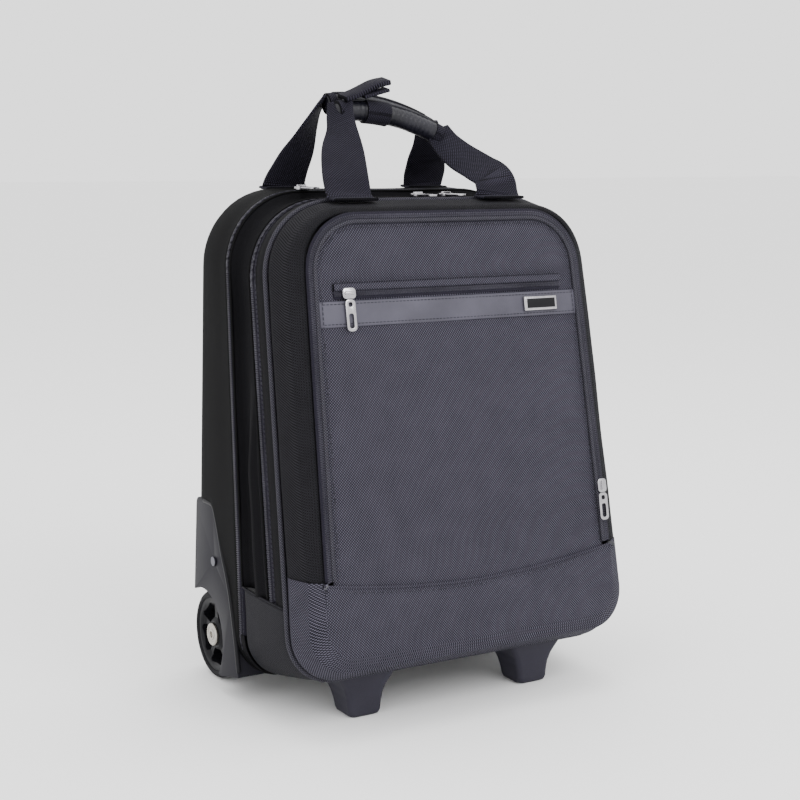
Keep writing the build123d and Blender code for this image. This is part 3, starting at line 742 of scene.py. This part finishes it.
def front_band():
    """Twill panel below the curved seam: face, rounded front edge and sides back to the piping."""
    profile = [(0.0345, -0.0012), (0.032, 0.0004), (0.027, 0.0008), (0.02, 0.001), (0.014, 0.0014),
               (0.008, 0.0018), (0.005, 0.002), (0.002, 0.0016), (0.0, 0.0012)]
    count = 190
    top_z = 0.131
    rows = []
    for depth, out in profile:
        points, normals, _ = ring(depth, out, count, "lower", top_z)
        rows.append(points + normals * ruffled(points, 0.05, 0.0007))
    edge = rows[-1]
    # carry each edge point inwards over the face, up to the curved seam
    for share in (0.08, 0.2, 0.35, 0.5, 0.65, 0.8, 0.92, 1.0):
        puff = 0.0022 * math.sin(math.pi * min(share, 0.97)) ** 0.7
        row = []
        for point, x in zip(edge, np.linspace(-SEAM_HALF, SEAM_HALF, count)):
            blended = point * (1 - share) + on_face(x, smile_z(x), 0.0012) * share
            row.append(blended + FACE_OUT * (puff + ruffle(blended, 0.06, 0.0007)))
        rows.append(np.array(row))
    rows = rows[::-1]
    uvs = [row[:, [0, 2]] for row in rows]
    band = grid("front_band_cloth", rows, uvs, [front_twill, lining_cloth])
    # the sides carry the weave along their outline, the face carries it level
    side_arc = ring(0.02, 0.0, count, "lower", top_z)[2]
    first_side = len(rows) - len(profile)
    layer = band.data.uv_layers["UVMap"]
    for face in band.data.polygons:
        if face.index // (count - 1) >= first_side:
            for k in face.loop_indices:
                row, column = divmod(band.data.loops[k].vertex_index, count)
                layer.data[k].uv = (side_arc[column], rows[row][column][1])
    thicken(band)
    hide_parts("front_band")
    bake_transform(band)


def smile_seam():
    """Rolled edge and stitches along the curved seam."""
    xs = np.linspace(-SEAM_HALF, SEAM_HALF, 120)
    seam = np.array([on_face(x, smile_z(x) + 0.0004, 0.0013) for x in xs])
    cord = sweep("smile_seam_fold", seam, FACE_OUT, circle(0.0013, 8), front_twill)
    place(cord, "front")
    below = seam - np.array([0, 0, 0.0042]) + FACE_OUT * 0.0014
    stitches("smile_seam_stitches", "front", below, FACE_OUT)


def body_piping():
    """Piping round the whole front section; its placement is baked into its mesh, on no body."""
    cord = outline_cord("front_body_piping", PIPING, 0.0008, 420, circle(0.0022, 10), piping_cloth_painted_highlight, "all")
    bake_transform(cord)


def front_section():
    """Twill round the front section, and the smooth flap beside the main zip."""
    profile = [(0.0008, -0.0014), (0.001, 0.0006), (0.0025, 0.0016), (0.0055, 0.0018), (0.009, 0.0014),
               (0.014, 0.001), (0.02, 0.001), (0.027, 0.001), (0.032, 0.0004), (0.0345, -0.0012)]
    cloths = [side_twill, lining_cloth]
    gusset = strip("front_gusset_cloth", profile, cloths, 170, cut_z=DOOR_CUT_Z, uneven=0.001)
    place(thicken(gusset), "front", node="front_shell")
    profile = [(0.0385, -0.0014), (0.0392, 0.0002), (0.043, 0.001), (0.048, 0.0013), (0.053, 0.0011),
               (0.0558, 0.0004), (0.0566, -0.001)]
    flap = strip("main_zip_flap", profile, [gusset_cloth, lining_cloth], 170, uneven=0.0005)
    place(thicken(flap, 0.0018), "front")
    points, normals, _ = ring(0.0545, 0.0014, 220)
    stitches("main_flap_stitches", "front", points, normals)


# -------- pocket door
def door_ring(out, count):
    """Points round the pocket door, at an offset from the case's front edge, and their arc lengths."""
    points, _, arc = ring(0.0, out, count, "upper", DOOR_CUT_Z, DOOR_CORNER + out - DOOR_INSET)
    return points, arc


def door_crown(z):
    """How far the padded door stands out of the face, before its unevenness."""
    crown = 0.0036 * smooth_step(0.129, 0.175, z) * (1 - smooth_step(0.402, 0.415, z))
    crown *= 1 - 0.85 * smooth_step(0.312, 0.33, z) * (1 - smooth_step(0.362, 0.378, z))
    return crown + 0.0012 * math.exp(-((z - 0.15) / 0.018) ** 2)


def over_door(x, z, lift):
    """Point just above the padded door."""
    edge = 1 - (min(abs(x), 0.128) / 0.134) ** 6
    return on_face(x, z, door_crown(z) * edge + lift)


def door_point(share_across, share_up):
    """Point on the cloth of the door, from -1 to 1 across it and from 0 to 1 up it."""
    top_z = 0.415
    low = smile_z(share_across * 0.134) - 0.004
    z = low + (top_z - low) * share_up
    wide = half_width(z) + DOOR_INSET - 0.018
    below_top = (top_z - z) / math.cos(LEAN)
    if below_top < DOOR_CORNER:
        wide += math.sqrt(max(DOOR_CORNER ** 2 - (DOOR_CORNER - below_top) ** 2, 0)) - DOOR_CORNER
    x = share_across * wide
    edge = 1 - abs(share_across) ** 6
    point = on_face(x, z)
    crown = door_crown(z) * edge
    crown += ruffle(point, 0.055, 0.0009) * edge + ruffle(point, 0.02, 0.0003) * edge
    # the cloth tucks in under the lip of the small pocket's zip
    tuck = math.exp(-((z - POCKET_ZIP_Z) / 0.004) ** 2) * (1 - smooth_step(0.108, 0.114, abs(x)))
    return point + FACE_OUT * (crown - 0.0022 * tuck)


def door_panel():
    """Crowned twill panel of the pocket door; its foot is sewn into the curved seam."""
    rows = []
    for up in np.linspace(0, 1, 110) ** 0.92:
        rows.append(np.array([door_point(across, up) for across in np.linspace(-1, 1, 120)]))
    uvs = [np.stack([row[:, 0], row[:, 2] - row[:, 1] * 0.17], 1) for row in rows]
    panel = grid("pocket_door_cloth", rows[::-1], uvs[::-1], [front_twill, lining_cloth])
    thicken(panel)
    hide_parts("pocket_door")
    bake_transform(panel)
    points, _ = door_ring(DOOR_INSET, 260)
    cord = sweep("door_piping", points + FACE_OUT * 0.0012, FACE_OUT, circle(0.0019, 10), piping_cloth_painted_highlight)
    place(cord, "door")
    points, _ = door_ring(DOOR_INSET - 0.0045, 260)
    stitches("door_edge_stitches", "door", points + FACE_OUT * 0.0026, FACE_OUT)


def front_zip():
    """The zip round the pocket door: one half on the door, one half on the front section."""
    # each edge of a tape has an offset from the front edge of the case and a lift off the face
    door_edges = ((-0.0056, -0.0002), (-0.005, 0.0006), (-0.0036, 0.0006))
    front_edges = ((-0.0029, 0.0006), (-0.0012, 0.0008), (0.0006, 0.0))
    for body, edges, node in (("door", door_edges, None), ("front", front_edges, "front_zip_tape")):
        rows = []
        uvs = []
        for out, lift in edges[::-1]:
            points, arc = door_ring(out, 220)
            rows.append(points + FACE_OUT * lift)
            uvs.append(uv_row(arc, out))
        tape = grid("front_zip_tape_" + body, rows, uvs, [tape_cloth])
        place(thicken(tape, TAPE), body, node)
    for body, out, shift in (("door", -0.0041, 0.0), ("front", -0.0023, PITCH / 2)):
        points, _ = door_ring(out, 500)
        centres, along, up = spaced(points + FACE_OUT * 0.0007, FACE_OUT, PITCH)
        teeth("front_zip_teeth_" + body, body, centres, along, up, (0.0011, 0.002, 0.0012), shift)


def pocket_zip():
    """The small pocket's zip and the cloth lip over it."""
    def line(above, lift):
        z = POCKET_ZIP_Z + above
        return np.array([over_door(x, z, lift - 0.0016) for x in np.linspace(-0.112, 0.112, 90)])

    section = flat_section(0.0088, 0.0008)
    tape = sweep("pocket_zip_tape_cloth", line(0.0, 0.0014), FACE_OUT, section, tape_cloth)
    place(tape, "door", node="pocket_zip_tape")
    for word, above, shift in (("upper", 0.001, 0.0), ("lower", -0.001, 0.0008)):
        centres, _, up = spaced(line(above, 0.0018), FACE_OUT, 0.0016)
        along = np.tile((1.0, 0.0, 0.0), (len(centres), 1))
        teeth("pocket_teeth_" + word, "door", centres, along, up, (0.0009, 0.0021, 0.0011), shift)
    lip = sweep("pocket_lip", line(0.0052, 0.003), FACE_OUT, flat_section(0.0062, 0.003), front_twill)
    place(lip, "door")
    stitches("pocket_lip_stitches", "door", line(0.0092, 0.004), FACE_OUT)


def leather_band():
    """Leather band across the door, stitched along both edges."""
    half = 0.1265
    wide = 0.0215

    def line(across, lift, end, uneven=0.0):
        z = LEATHER_Z + across * math.cos(LEAN)
        return np.array([
            over_door(x, z, lift + ruffle((x, across, 0), 0.04, uneven)) for x in np.linspace(-end, end, 130)
        ])

    edge = [(wide / 2, 0.0004), (wide / 2 - 0.0006, 0.0013), (wide / 2 - 0.002, 0.0015), (wide / 4, 0.0017)]
    section = edge + [(0.0, 0.0017)] + [(-across, lift) for across, lift in edge[::-1]]
    rows = [line(across, lift, half, 0.0003) for across, lift in section]
    uvs = [uv_row(row[:, 0], across) for row, (across, _) in zip(rows, section)]
    band = thicken(grid("leather_band_skin", rows, uvs, [leather]), 0.0012)
    place(band, "door", node="leather_band")
    for word, across in (("upper", wide / 2 - 0.0026), ("lower", 0.0026 - wide / 2)):
        path = line(across, 0.0015, half - 0.003)
        stitches("leather_stitches_" + word, "door", path, FACE_OUT, 0.0022, 0.0012)


def badge_plate(name, wide, high, low, top, material, bevel):
    """Plate on the face around the badge's centre, with bevelled edges."""
    verts = []
    for level, shrink in ((low, 0), (top - bevel, 0), (top, bevel)):
        for a, b in ((-1, -1), (1, -1), (1, 1), (-1, 1)):
            x = BADGE_X + a * (wide / 2 - shrink)
            verts.append(on_face(x, LEATHER_Z + b * (high / 2 - shrink), level))
    obj = solid(name, verts, tube_faces(3, 4), [material])
    soft = obj.modifiers.new("rounding", "BEVEL")
    soft.width = 0.0004
    soft.segments = 2
    return shade(apply_modifiers(obj), 30)


def badge():
    """Blank plate: a bright bevelled frame around a dark centre."""
    frame_plate = badge_plate("badge_frame", 0.034, 0.0122, 0.0022, 0.0054, chrome, 0.0008)
    place(frame_plate, "door", node="badge")
    centre = badge_plate("badge_centre", 0.0292, 0.008, 0.0047, 0.0058, black_plastic, 0.0003)
    place(centre, "door")


# -------- straps and grips
def at(x, y, z):
    """Point given in millimetres: x, distance behind the front edge, and height."""
    return (x * 0.001, FRONT_Y + y * 0.001, z * 0.001)


def strap(name, body, knots, node=None, thick=0.0024, bends=None):
    """Webbing through knots: each is a point and a width in millimetres, and the way the strap faces."""
    count = 70
    points, widths, facing = zip(*knots)
    path = smooth_path([at(*point) for point in points], count)
    width = smooth_path([[width * 0.001] for width in widths], count)[:, 0]
    section = flat_section(1.0, 0.08, 2) / (1.0, 0.08)
    scale = np.stack([width, np.full(count, thick)], 1)
    band = sweep(name, path, smooth_path(facing, count), section, webbing, scale)
    # the weave runs along the strap and across it
    layer = band.data.uv_layers["UVMap"]
    arc = arc_lengths(path)
    for loop in band.data.loops:
        k, j = divmod(loop.vertex_index, len(section))
        layer.data[loop.index].uv = (arc[k], section[j, 0] * width[k])
    if bends:
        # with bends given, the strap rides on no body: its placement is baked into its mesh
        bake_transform(band)
    else:
        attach(band, body)
    if node:
        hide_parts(node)


# where straps start to bend: the body below, depth and height of the foot, and how far back it ends
FRONT_BEND = ("front", 0.092, 0.433, 0.008)
REAR_BEND = ("root", 0.219, 0.44, -0.007)


def front_straps():
    strap("front_strap_left", "handle_front", [
        ((-73.5, 92, 433), 43, (0, -0.3, 1)),
        ((-73.5, 97, 437), 43, (0, -0.9, 0.5)),
        ((-71, 107, 452), 41, (-0.15, -0.9, 0.6)),
        ((-64, 124, 472), 37, (-0.3, -0.85, 0.5)),
        ((-56, 141, 491), 27, (-0.6, -0.75, 0.3)),
        ((-52, 151, 503), 25, (-0.7, -0.6, 0.3)),
        ((-48, 158, 515), 24, (-0.6, -0.4, 0.7)),
    ], "front_straps", bends=FRONT_BEND)
    strap("front_strap_right", "handle_front", [
        ((74, 92, 433), 43, (0, -0.3, 1)),
        ((75, 96, 438), 43, (0, -0.95, 0.3)),
        ((75, 103, 450), 41, (-0.1, -0.8, 0.6)),
        ((68, 115, 458), 37, (-0.25, -0.65, 0.7)),
        ((60, 133, 468), 32, (-0.35, -0.65, 0.6)),
        ((54, 148, 480), 27, (-0.35, -0.65, 0.6)),
        ((50, 156, 492), 24, (-0.2, -0.6, 0.7)),
    ], bends=FRONT_BEND)


def rear_straps():
    strap("rear_strap_left", "handle_rear", [
        ((-73, 220, 440), 42, (0, 0.3, 1)),
        ((-73, 218, 444), 42, (0, 0.9, 0.5)),
        ((-70, 212, 457), 40, (-0.1, 0.9, 0.5)),
        ((-66, 203, 473), 36, (-0.2, 0.9, 0.4)),
        ((-62, 192, 492), 30, (-0.5, 0.8, 0.4)),
        ((-57, 184, 508), 26, (-0.7, 0.6, 0.5)),
        ((-50, 178, 520), 24, (-0.5, 0.4, 0.8)),
    ], "rear_straps", bends=REAR_BEND)
    strap("rear_strap_right", "handle_rear", [
        ((73, 220, 440), 42, (0, 0.3, 1)),
        ((73, 218, 444), 42, (0, 0.9, 0.5)),
        ((71, 212, 454), 40, (0.2, 0.9, 0.5)),
        ((67, 203, 464), 36, (0.3, 0.9, 0.5)),
        ((63, 192, 476), 30, (0.5, 0.8, 0.4)),
        ((58, 184, 489), 26, (0.7, 0.6, 0.5)),
        ((51, 178, 500), 24, (0.6, 0.4, 0.8)),
    ], bends=REAR_BEND)


def strap_feet():
    """Stitched ends of the straps, laid on the top of the case."""
    for side, word in SIDES:
        for row, body, y, z in (("front", "front", 92, 432.5), ("rear", "root", 219, 439.5)):
            x = side * 73.5
            line = ((-9, -0.3), (-3, 0), (3, 0.6), (6, 1.0))
            knots = [((x, y + back, z + rise), 43, (0, 0, 1)) for back, rise in line]
            strap(row + "_strap_foot_" + word, body, knots)
            line = np.array([at(x + across, y - 6, z + 1.4) for across in np.linspace(-19, 19, 12)])
            stitches(row + "_foot_stitches_" + word, body, line, (0.0, 0.0, 1.0))


def grip_line(y, lift):
    """Centre line of a grip: it falls a little to the right and bows upwards."""
    t = np.linspace(0, 1, GRIP_COUNT)
    z = 0.506 - 0.02 * t + 0.0075 * 4 * t * (1 - t) + lift
    return np.stack([0.0525 * (2 * t - 1), np.full(GRIP_COUNT, y), z], 1)


def wrapped_grip(name, node, body, path, creased):
    """Leather-covered grip with creases, a sewn lap along it and thicker end collars."""
    radius = 0.0088
    sides = 28
    t = np.linspace(0, 1, GRIP_COUNT)
    ends = 1 - 0.22 * np.exp(-(t / 0.035) ** 2) - 0.22 * np.exp(-((1 - t) / 0.035) ** 2)
    crease = 0.018 * np.sin(t * 150) * smooth_step(0.12, 0.2, t) * smooth_step(0.95, 0.85, t) * creased
    scale = np.stack([ends + crease, ends + crease * 0.6], 1)
    grip = sweep(name, path, (0, 0, 1), circle(radius, sides), grip_leather, scale)
    for k, vertex in enumerate(grip.data.vertices):
        turn = 2 * math.pi * (k % sides) / sides
        vertex.co += Vector((0, math.cos(turn), math.sin(turn))) * ruffle(vertex.co, 0.012, 0.0006)
    place(grip, body, node=node)
    lap = path[8:-8] + np.array([0, 0.0015, radius * 0.96])
    flap = sweep(name + "_lap", lap, (0, 0.15, 1), flat_section(0.011, 0.0022), grip_leather)
    place(flap, body)
    row = lap + np.array([0, -0.0038, 0.0012])
    stitches(name + "_lap_stitches", body, row, (0.0, -0.15, 0.99), 0.0024)
    for word, end in (("left", slice(1, 12)), ("right", slice(-12, -1))):
        collar = sweep(name + "_collar_" + word, path[end], (0, 0, 1), circle(radius * 1.07, sides), webbing)
        place(collar, body)


def snap_tab():
    """Padded tab over the front grip, with its folded end and snap socket."""
    facing = (-0.2, -0.2, 0.95)
    knots = [((-47, 156, 518), 18), ((-41, 155.5, 519.5), 18), ((-33, 155, 522.5), 19),
             ((-25, 154, 526.5), 19), ((-16, 153, 530.5), 19), ((-5, 152, 533), 18)]
    strap("snap_tab_cloth", "tab", [(*knot, facing) for knot in knots], "snap_tab", 0.0042)
    knots = [((-30, 154, 520), 20), ((-18, 153, 523.5), 21), ((-7, 152, 526.5), 21)]
    strap("snap_tab_fold", "tab", [(*knot, facing) for knot in knots], thick=0.0028)
    axis = [at(-15, 152, z) for z in (525, 527, 529)]
    place(sweep("snap_socket", axis, (0, 1, 0), circle(0.0045, 20), chrome), "tab")


def handles():
    front_straps()
    rear_straps()
    strap_feet()
    front = grip_line(FRONT_Y + 0.157, 0.0)
    wrapped_grip("front_grip_skin", "front_grip", "handle_front", front, 1.0)
    wrapped_grip("rear_grip_skin", "rear_grip", "handle_rear", grip_line(FRONT_Y + 0.176, 0.007), 0.5)
    # the keeper is a loop of webbing round the left half of the front grip
    held = slice(38, 72)
    keeper = sweep("keeper_loop_cloth", front[held], (0, 0, 1), circle(0.0106, 24), webbing)
    place(keeper, "handle_front", node="keeper_loop")
    snap_tab()


# -------- zip pulls
def bright_metal():
    """Sliders and pulls of the zips."""
    nodes = "pocket_slider pocket_pull front_slider front_pull main_slider_left main_slider_right"
    nodes += " main_pull_left main_pull_right rear_slider rear_pull"
    for node in nodes.split():
        softened(node, node + "_metal", chrome, 0.00045, 25)


# -------- wheels, housings and feet
def turned(name, profile, centre, inward, material, sides=96, closed=True):
    """Piece turned about a line along X; profile holds distances inwards and radii."""
    verts = []
    for depth, radius in profile:
        for a, b in circle(radius, sides):
            verts.append((centre[0] + inward * depth, centre[1] + a, centre[2] + b))
    return solid(name, verts, tube_faces(len(profile), sides, closed), [material])


def wheel_hub(word, body, centre, inward, r):
    """Moulded wheel with five spokes between its rim and its boss."""
    profile = [(0.0188, 0.0075), (0.0022, 0.0075), (0.0022, 0.0118), (0.003, 0.0128), (0.005, 0.015),
               (0.0052, 0.025), (0.0034, 0.0275), (0.002, 0.029), (0.0016, 0.031), (0.0016, r - 0.0068),
               (0.0184, r - 0.0068), (0.0188, 0.03)]
    hub = turned("wheel_hub_moulded_" + word, profile, centre, inward, black_plastic)
    # half of a window between two spokes: radii, and angles from its middle
    half = [(0.0145, 0.3), (0.0155, 0.42), (0.02, 0.5), (0.0255, 0.5), (0.0278, 0.44), (0.0284, 0.32)]
    low, high = sorted(centre[0] + inward * depth for depth in (-0.003, 0.0165))
    for spoke in range(5):
        middle = 2 * math.pi * (spoke + 0.5) / 5 + 0.25
        path = [(q, middle + w) for q, w in half] + [(q, middle - w) for q, w in half[::-1]]
        window = [(centre[1] + q * math.cos(w), centre[2] + q * math.sin(w)) for q, w in path]
        cut(hub, prism("hub_window", window, "x", low, high))
    place(shade(hub, 35), body, node="wheel_hub_" + word)


def tyre(word, body, centre, inward, r):
    """Rubber tyre with a groove round the middle of its tread."""
    profile = [(0.0016, 0.0072), (0.0004, 0.0064), (0.0, 0.0052), (0.0004, 0.0036), (0.0018, 0.0016),
               (0.0042, 0.0003), (0.0065, 0.0), (0.0095, 0.0001), (0.01, 0.0006), (0.0105, 0.0001),
               (0.0135, 0.0), (0.0158, 0.0003), (0.0182, 0.0016), (0.0196, 0.0036), (0.02, 0.0052),
               (0.0196, 0.0064), (0.0184, 0.0072)]
    profile = [(depth, r - below) for depth, below in profile]
    place(turned("tyre_rubber_" + word, profile, centre, inward, rubber), body, node="wheel_tyre_" + word)


def hub_cap(side, word, body, centre):
    """Turned metal cap over the end of the axle."""
    low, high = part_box("hub_cap_" + word)
    face_x = high.x if side > 0 else low.x
    profile = [(0.003, 0.0104), (0.0012, 0.0104), (0.0004, 0.0098), (0.0, 0.0088), (0.0002, 0.0076),
               (0.0008, 0.007), (0.0008, 0.005), (0.0002, 0.0046), (0.0002, 0.003), (0.0016, 0.0026)]
    cap = turned("hub_cap_metal_" + word, profile, (face_x, *centre[1:]), -side, steel, 64, closed=False)
    place(shade(cap, 38), body, node="hub_cap_" + word)


def wheels():
    for side, word in SIDES:
        body = "wheel_" + word
        low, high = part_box("wheel_tyre_" + word)
        centre = (high.x if side > 0 else low.x, (low.y + high.y) / 2, (low.z + high.z) / 2)
        radius = (high.z - low.z) / 2
        wheel_hub(word, body, centre, -side, radius)
        tyre(word, body, centre, -side, radius)
        hub_cap(side, word, body, centre)


def housings():
    """Wheel housings, each with a raised lip along its front edge."""
    outline = [(132.5, 27), (140, 53), (151.5, 86), (161, 106), (171.5, 124), (180, 142), (187.5, 156),
               (193, 162.5), (199, 163.5), (212, 163.5)]
    half = 163.6
    taper = 0.0414
    for side, word in SIDES:
        softened("wheel_housing_" + word, "wheel_housing_moulded_" + word, slate_plastic, 0.0016, 30)
        edge = [at(side * (half - (z - 40) * taper), y, z) for y, z in outline]
        path = smooth_path(edge, 90)
        lip = sweep("housing_lip_" + word, path, (side, 0, 0), circle(0.0021, 10), black_plastic)
        place(lip, "root")


def feet():
    """Moulded feet: flat front face, hollowed sides, rounded sole, cut to the slope of the case."""
    heights = np.array([0.0, 0.0012, 0.004, 0.01, 0.018, 0.026, 0.033, 0.04, 0.048, 0.056])
    widths = np.array([0.025, 0.0285, 0.0305, 0.0318, 0.0345, 0.04, 0.048, 0.056, 0.059, 0.06])
    depths = np.array([0.025, 0.029, 0.0315, 0.033, 0.036, 0.041, 0.046, 0.05, 0.052, 0.052])
    levels = np.linspace(0, 0.044, 34)
    end = 0.2
    end_z = FRONT_BOTTOM - (end - FRONT_Y) * UNDERSIDE_SLOPE + 0.004
    slope = [(-end, FRONT_BOTTOM + 0.0515), (-end, end), (end, end), (end, end_z)]
    for side, word in SIDES:
        verts = []
        for z in levels:
            w = np.interp(z, heights, widths) / 2
            d = np.interp(z, heights, depths) / 2
            back = 0.063 + 0.004 * smooth_step(0.0, 0.035, z)
            for a, b in rounded([(w, -d), (w, d), (-w, d), (-w, -d)], [0.005] * 4, 10):
                verts.append((side * 0.086 + a, FRONT_Y + back + b, z))
        foot = solid("foot_moulded_" + word, verts, tube_faces(len(levels), 40), [foot_plastic])
        cut(foot, prism("foot_cutter", slope, "x", -end, end))
        place(shade(foot, 40), "middle", node="foot_" + word)


# -------- pieces inside
def inflate(obj, limit):
    """Cloth simulation that plumps a pad; no point moves further than the limit."""
    last_frame = 20
    start = [vertex.co.copy() for vertex in obj.data.vertices]
    cloth = obj.modifiers.new("cloth", "CLOTH")
    cloth.settings.use_pressure = True
    cloth.settings.uniform_pressure_force = 4
    cloth.settings.effector_weights.gravity = 0
    cloth.point_cache.frame_start = 1
    cloth.point_cache.frame_end = last_frame
    for number in range(1, last_frame + 1):
        bpy.context.scene.frame_set(number)
    apply_modifiers(obj)
    bpy.context.scene.frame_set(1)
    for vertex, before in zip(obj.data.vertices, start):
        moved = vertex.co - before
        if moved.length > limit:
            vertex.co = before + moved.normalized() * limit


def padded_copy(node, voxel, sim_limit=None):
    """Soft version of a CAD pad: remeshed, smoothed, slightly uneven and, with a limit, swollen."""
    source = NODES[node]
    obj = linked(node + "_padded", source.data.copy())
    obj.data.materials.clear()
    obj.data.materials.append(lining_object)
    remesh = obj.modifiers.new("remesh", "REMESH")
    remesh.mode = "VOXEL"
    remesh.voxel_size = voxel
    soft = obj.modifiers.new("soften", "SMOOTH")
    soft.factor = 0.5
    soft.iterations = 4
    apply_modifiers(obj)
    if sim_limit:
        inflate(obj, sim_limit)
    normals = [vertex.normal.copy() for vertex in obj.data.vertices]
    for vertex, normal in zip(obj.data.vertices, normals):
        vertex.co += normal * ruffle(vertex.co, 0.03, 0.0004)
    place(shade(obj), source["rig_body"], node=node)


def inside():
    padded_copy("divider_panel", 0.0016)
    padded_copy("laptop_sleeve", 0.0022)
    padded_copy("pocket_back", 0.0014)
    padded_copy("back_pad", 0.004, 0.0015)


def finish_cad():
    """Materials for the CAD pieces that stay in view."""
    looks = (
        (black_plastic, "handle_cup guide_brackets pull_grip"),
        (slate_plastic, "release_button"),
        (board_plastic, "back_board rear_base_board base_rim"),
        (pale_plastic, "wheel_bush_left wheel_bush_right"),
        (steel, "axle_left axle_right"),
        (dark_steel, "housing_screws"),
        (aluminium, "guide_tubes stage_one_tubes stage_two_tubes"),
    )
    for material, nodes in looks:
        for node in nodes.split():
            slots = NODES[node].data.materials
            slots.clear()
            slots.append(material)


# -------- camera and light
def aimed(name, data, spot, target):
    """Camera or lamp that looks from a spot at a target."""
    obj = linked(name, data)
    obj.location = spot
    obj.rotation_euler = (Vector(target) - Vector(spot)).to_track_quat("-Z", "Y").to_euler()
    return obj


def camera():
    data = bpy.data.cameras.new("camera")
    data.sensor_width = 36.0
    data.lens = 71.2
    data.shift_x = -0.003
    data.shift_y = -0.0063
    spot = (-0.71285, -1.06888 + FRONT_Y, 0.46573)
    bpy.context.scene.camera = aimed("camera", data, spot, (-0.01445, 0.10857 + FRONT_Y, 0.26116))


def lamp(name, spot, aim_z, power, wide):
    data = bpy.data.lights.new(name, "AREA")
    data.energy = power
    data.size = wide
    aimed(name, data, spot, (0, 0, aim_z))


def studio():
    """Pale floor, even surroundings and three soft lamps."""
    size = 30.0
    corners = [(-size, -size, 0), (size, -size, 0), (size, size, 0), (-size, size, 0)]
    paint = Paint("floor_paint", 0.9, specular=0.1)
    paint.colour(paint.noise(paint.coordinates(), 0.6), (0.93, 0.93, 0.93), (0.95, 0.95, 0.95))
    mesh_object("floor", corners, [(0, 1, 2, 3)], [paint.material])
    world = bpy.data.worlds.new("studio")
    world.use_nodes = True
    background = world.node_tree.nodes["Background"]
    background.inputs["Color"].default_value = (1.0, 1.0, 1.0, 1)
    background.inputs["Strength"].default_value = 1.9
    bpy.context.scene.world = world
    lamp("key", (0.4, -2.2, 1.9), 0.25, 46, 1.4)
    lamp("fill", (-2.4, -0.9, 1.2), 0.25, 10, 1.6)
    lamp("top", (0.2, 0.3, 2.6), 0.3, 22, 1.6)


rear_section()
zip_half("rear_zip_root", "root", REAR_ZIP, 1, "rear_zip_tape", 0.05)
zip_half("rear_zip_middle", "middle", REAR_ZIP, -1, "rear_zip_tape_middle", 0.062)
zip_half("main_zip_middle", "middle", MAIN_ZIP, 1, "main_zip_tape_middle")
zip_half("main_zip_front", "front", MAIN_ZIP, -1, "main_zip_tape_front", BAND_Z + 0.001)
middle_section()
base_panel()
front_band()
smile_seam()
body_piping()
front_section()
door_panel()
front_zip()
pocket_zip()
leather_band()
badge()
handles()
bright_metal()
wheels()
housings()
feet()
inside()
finish_cad()
camera()
studio()
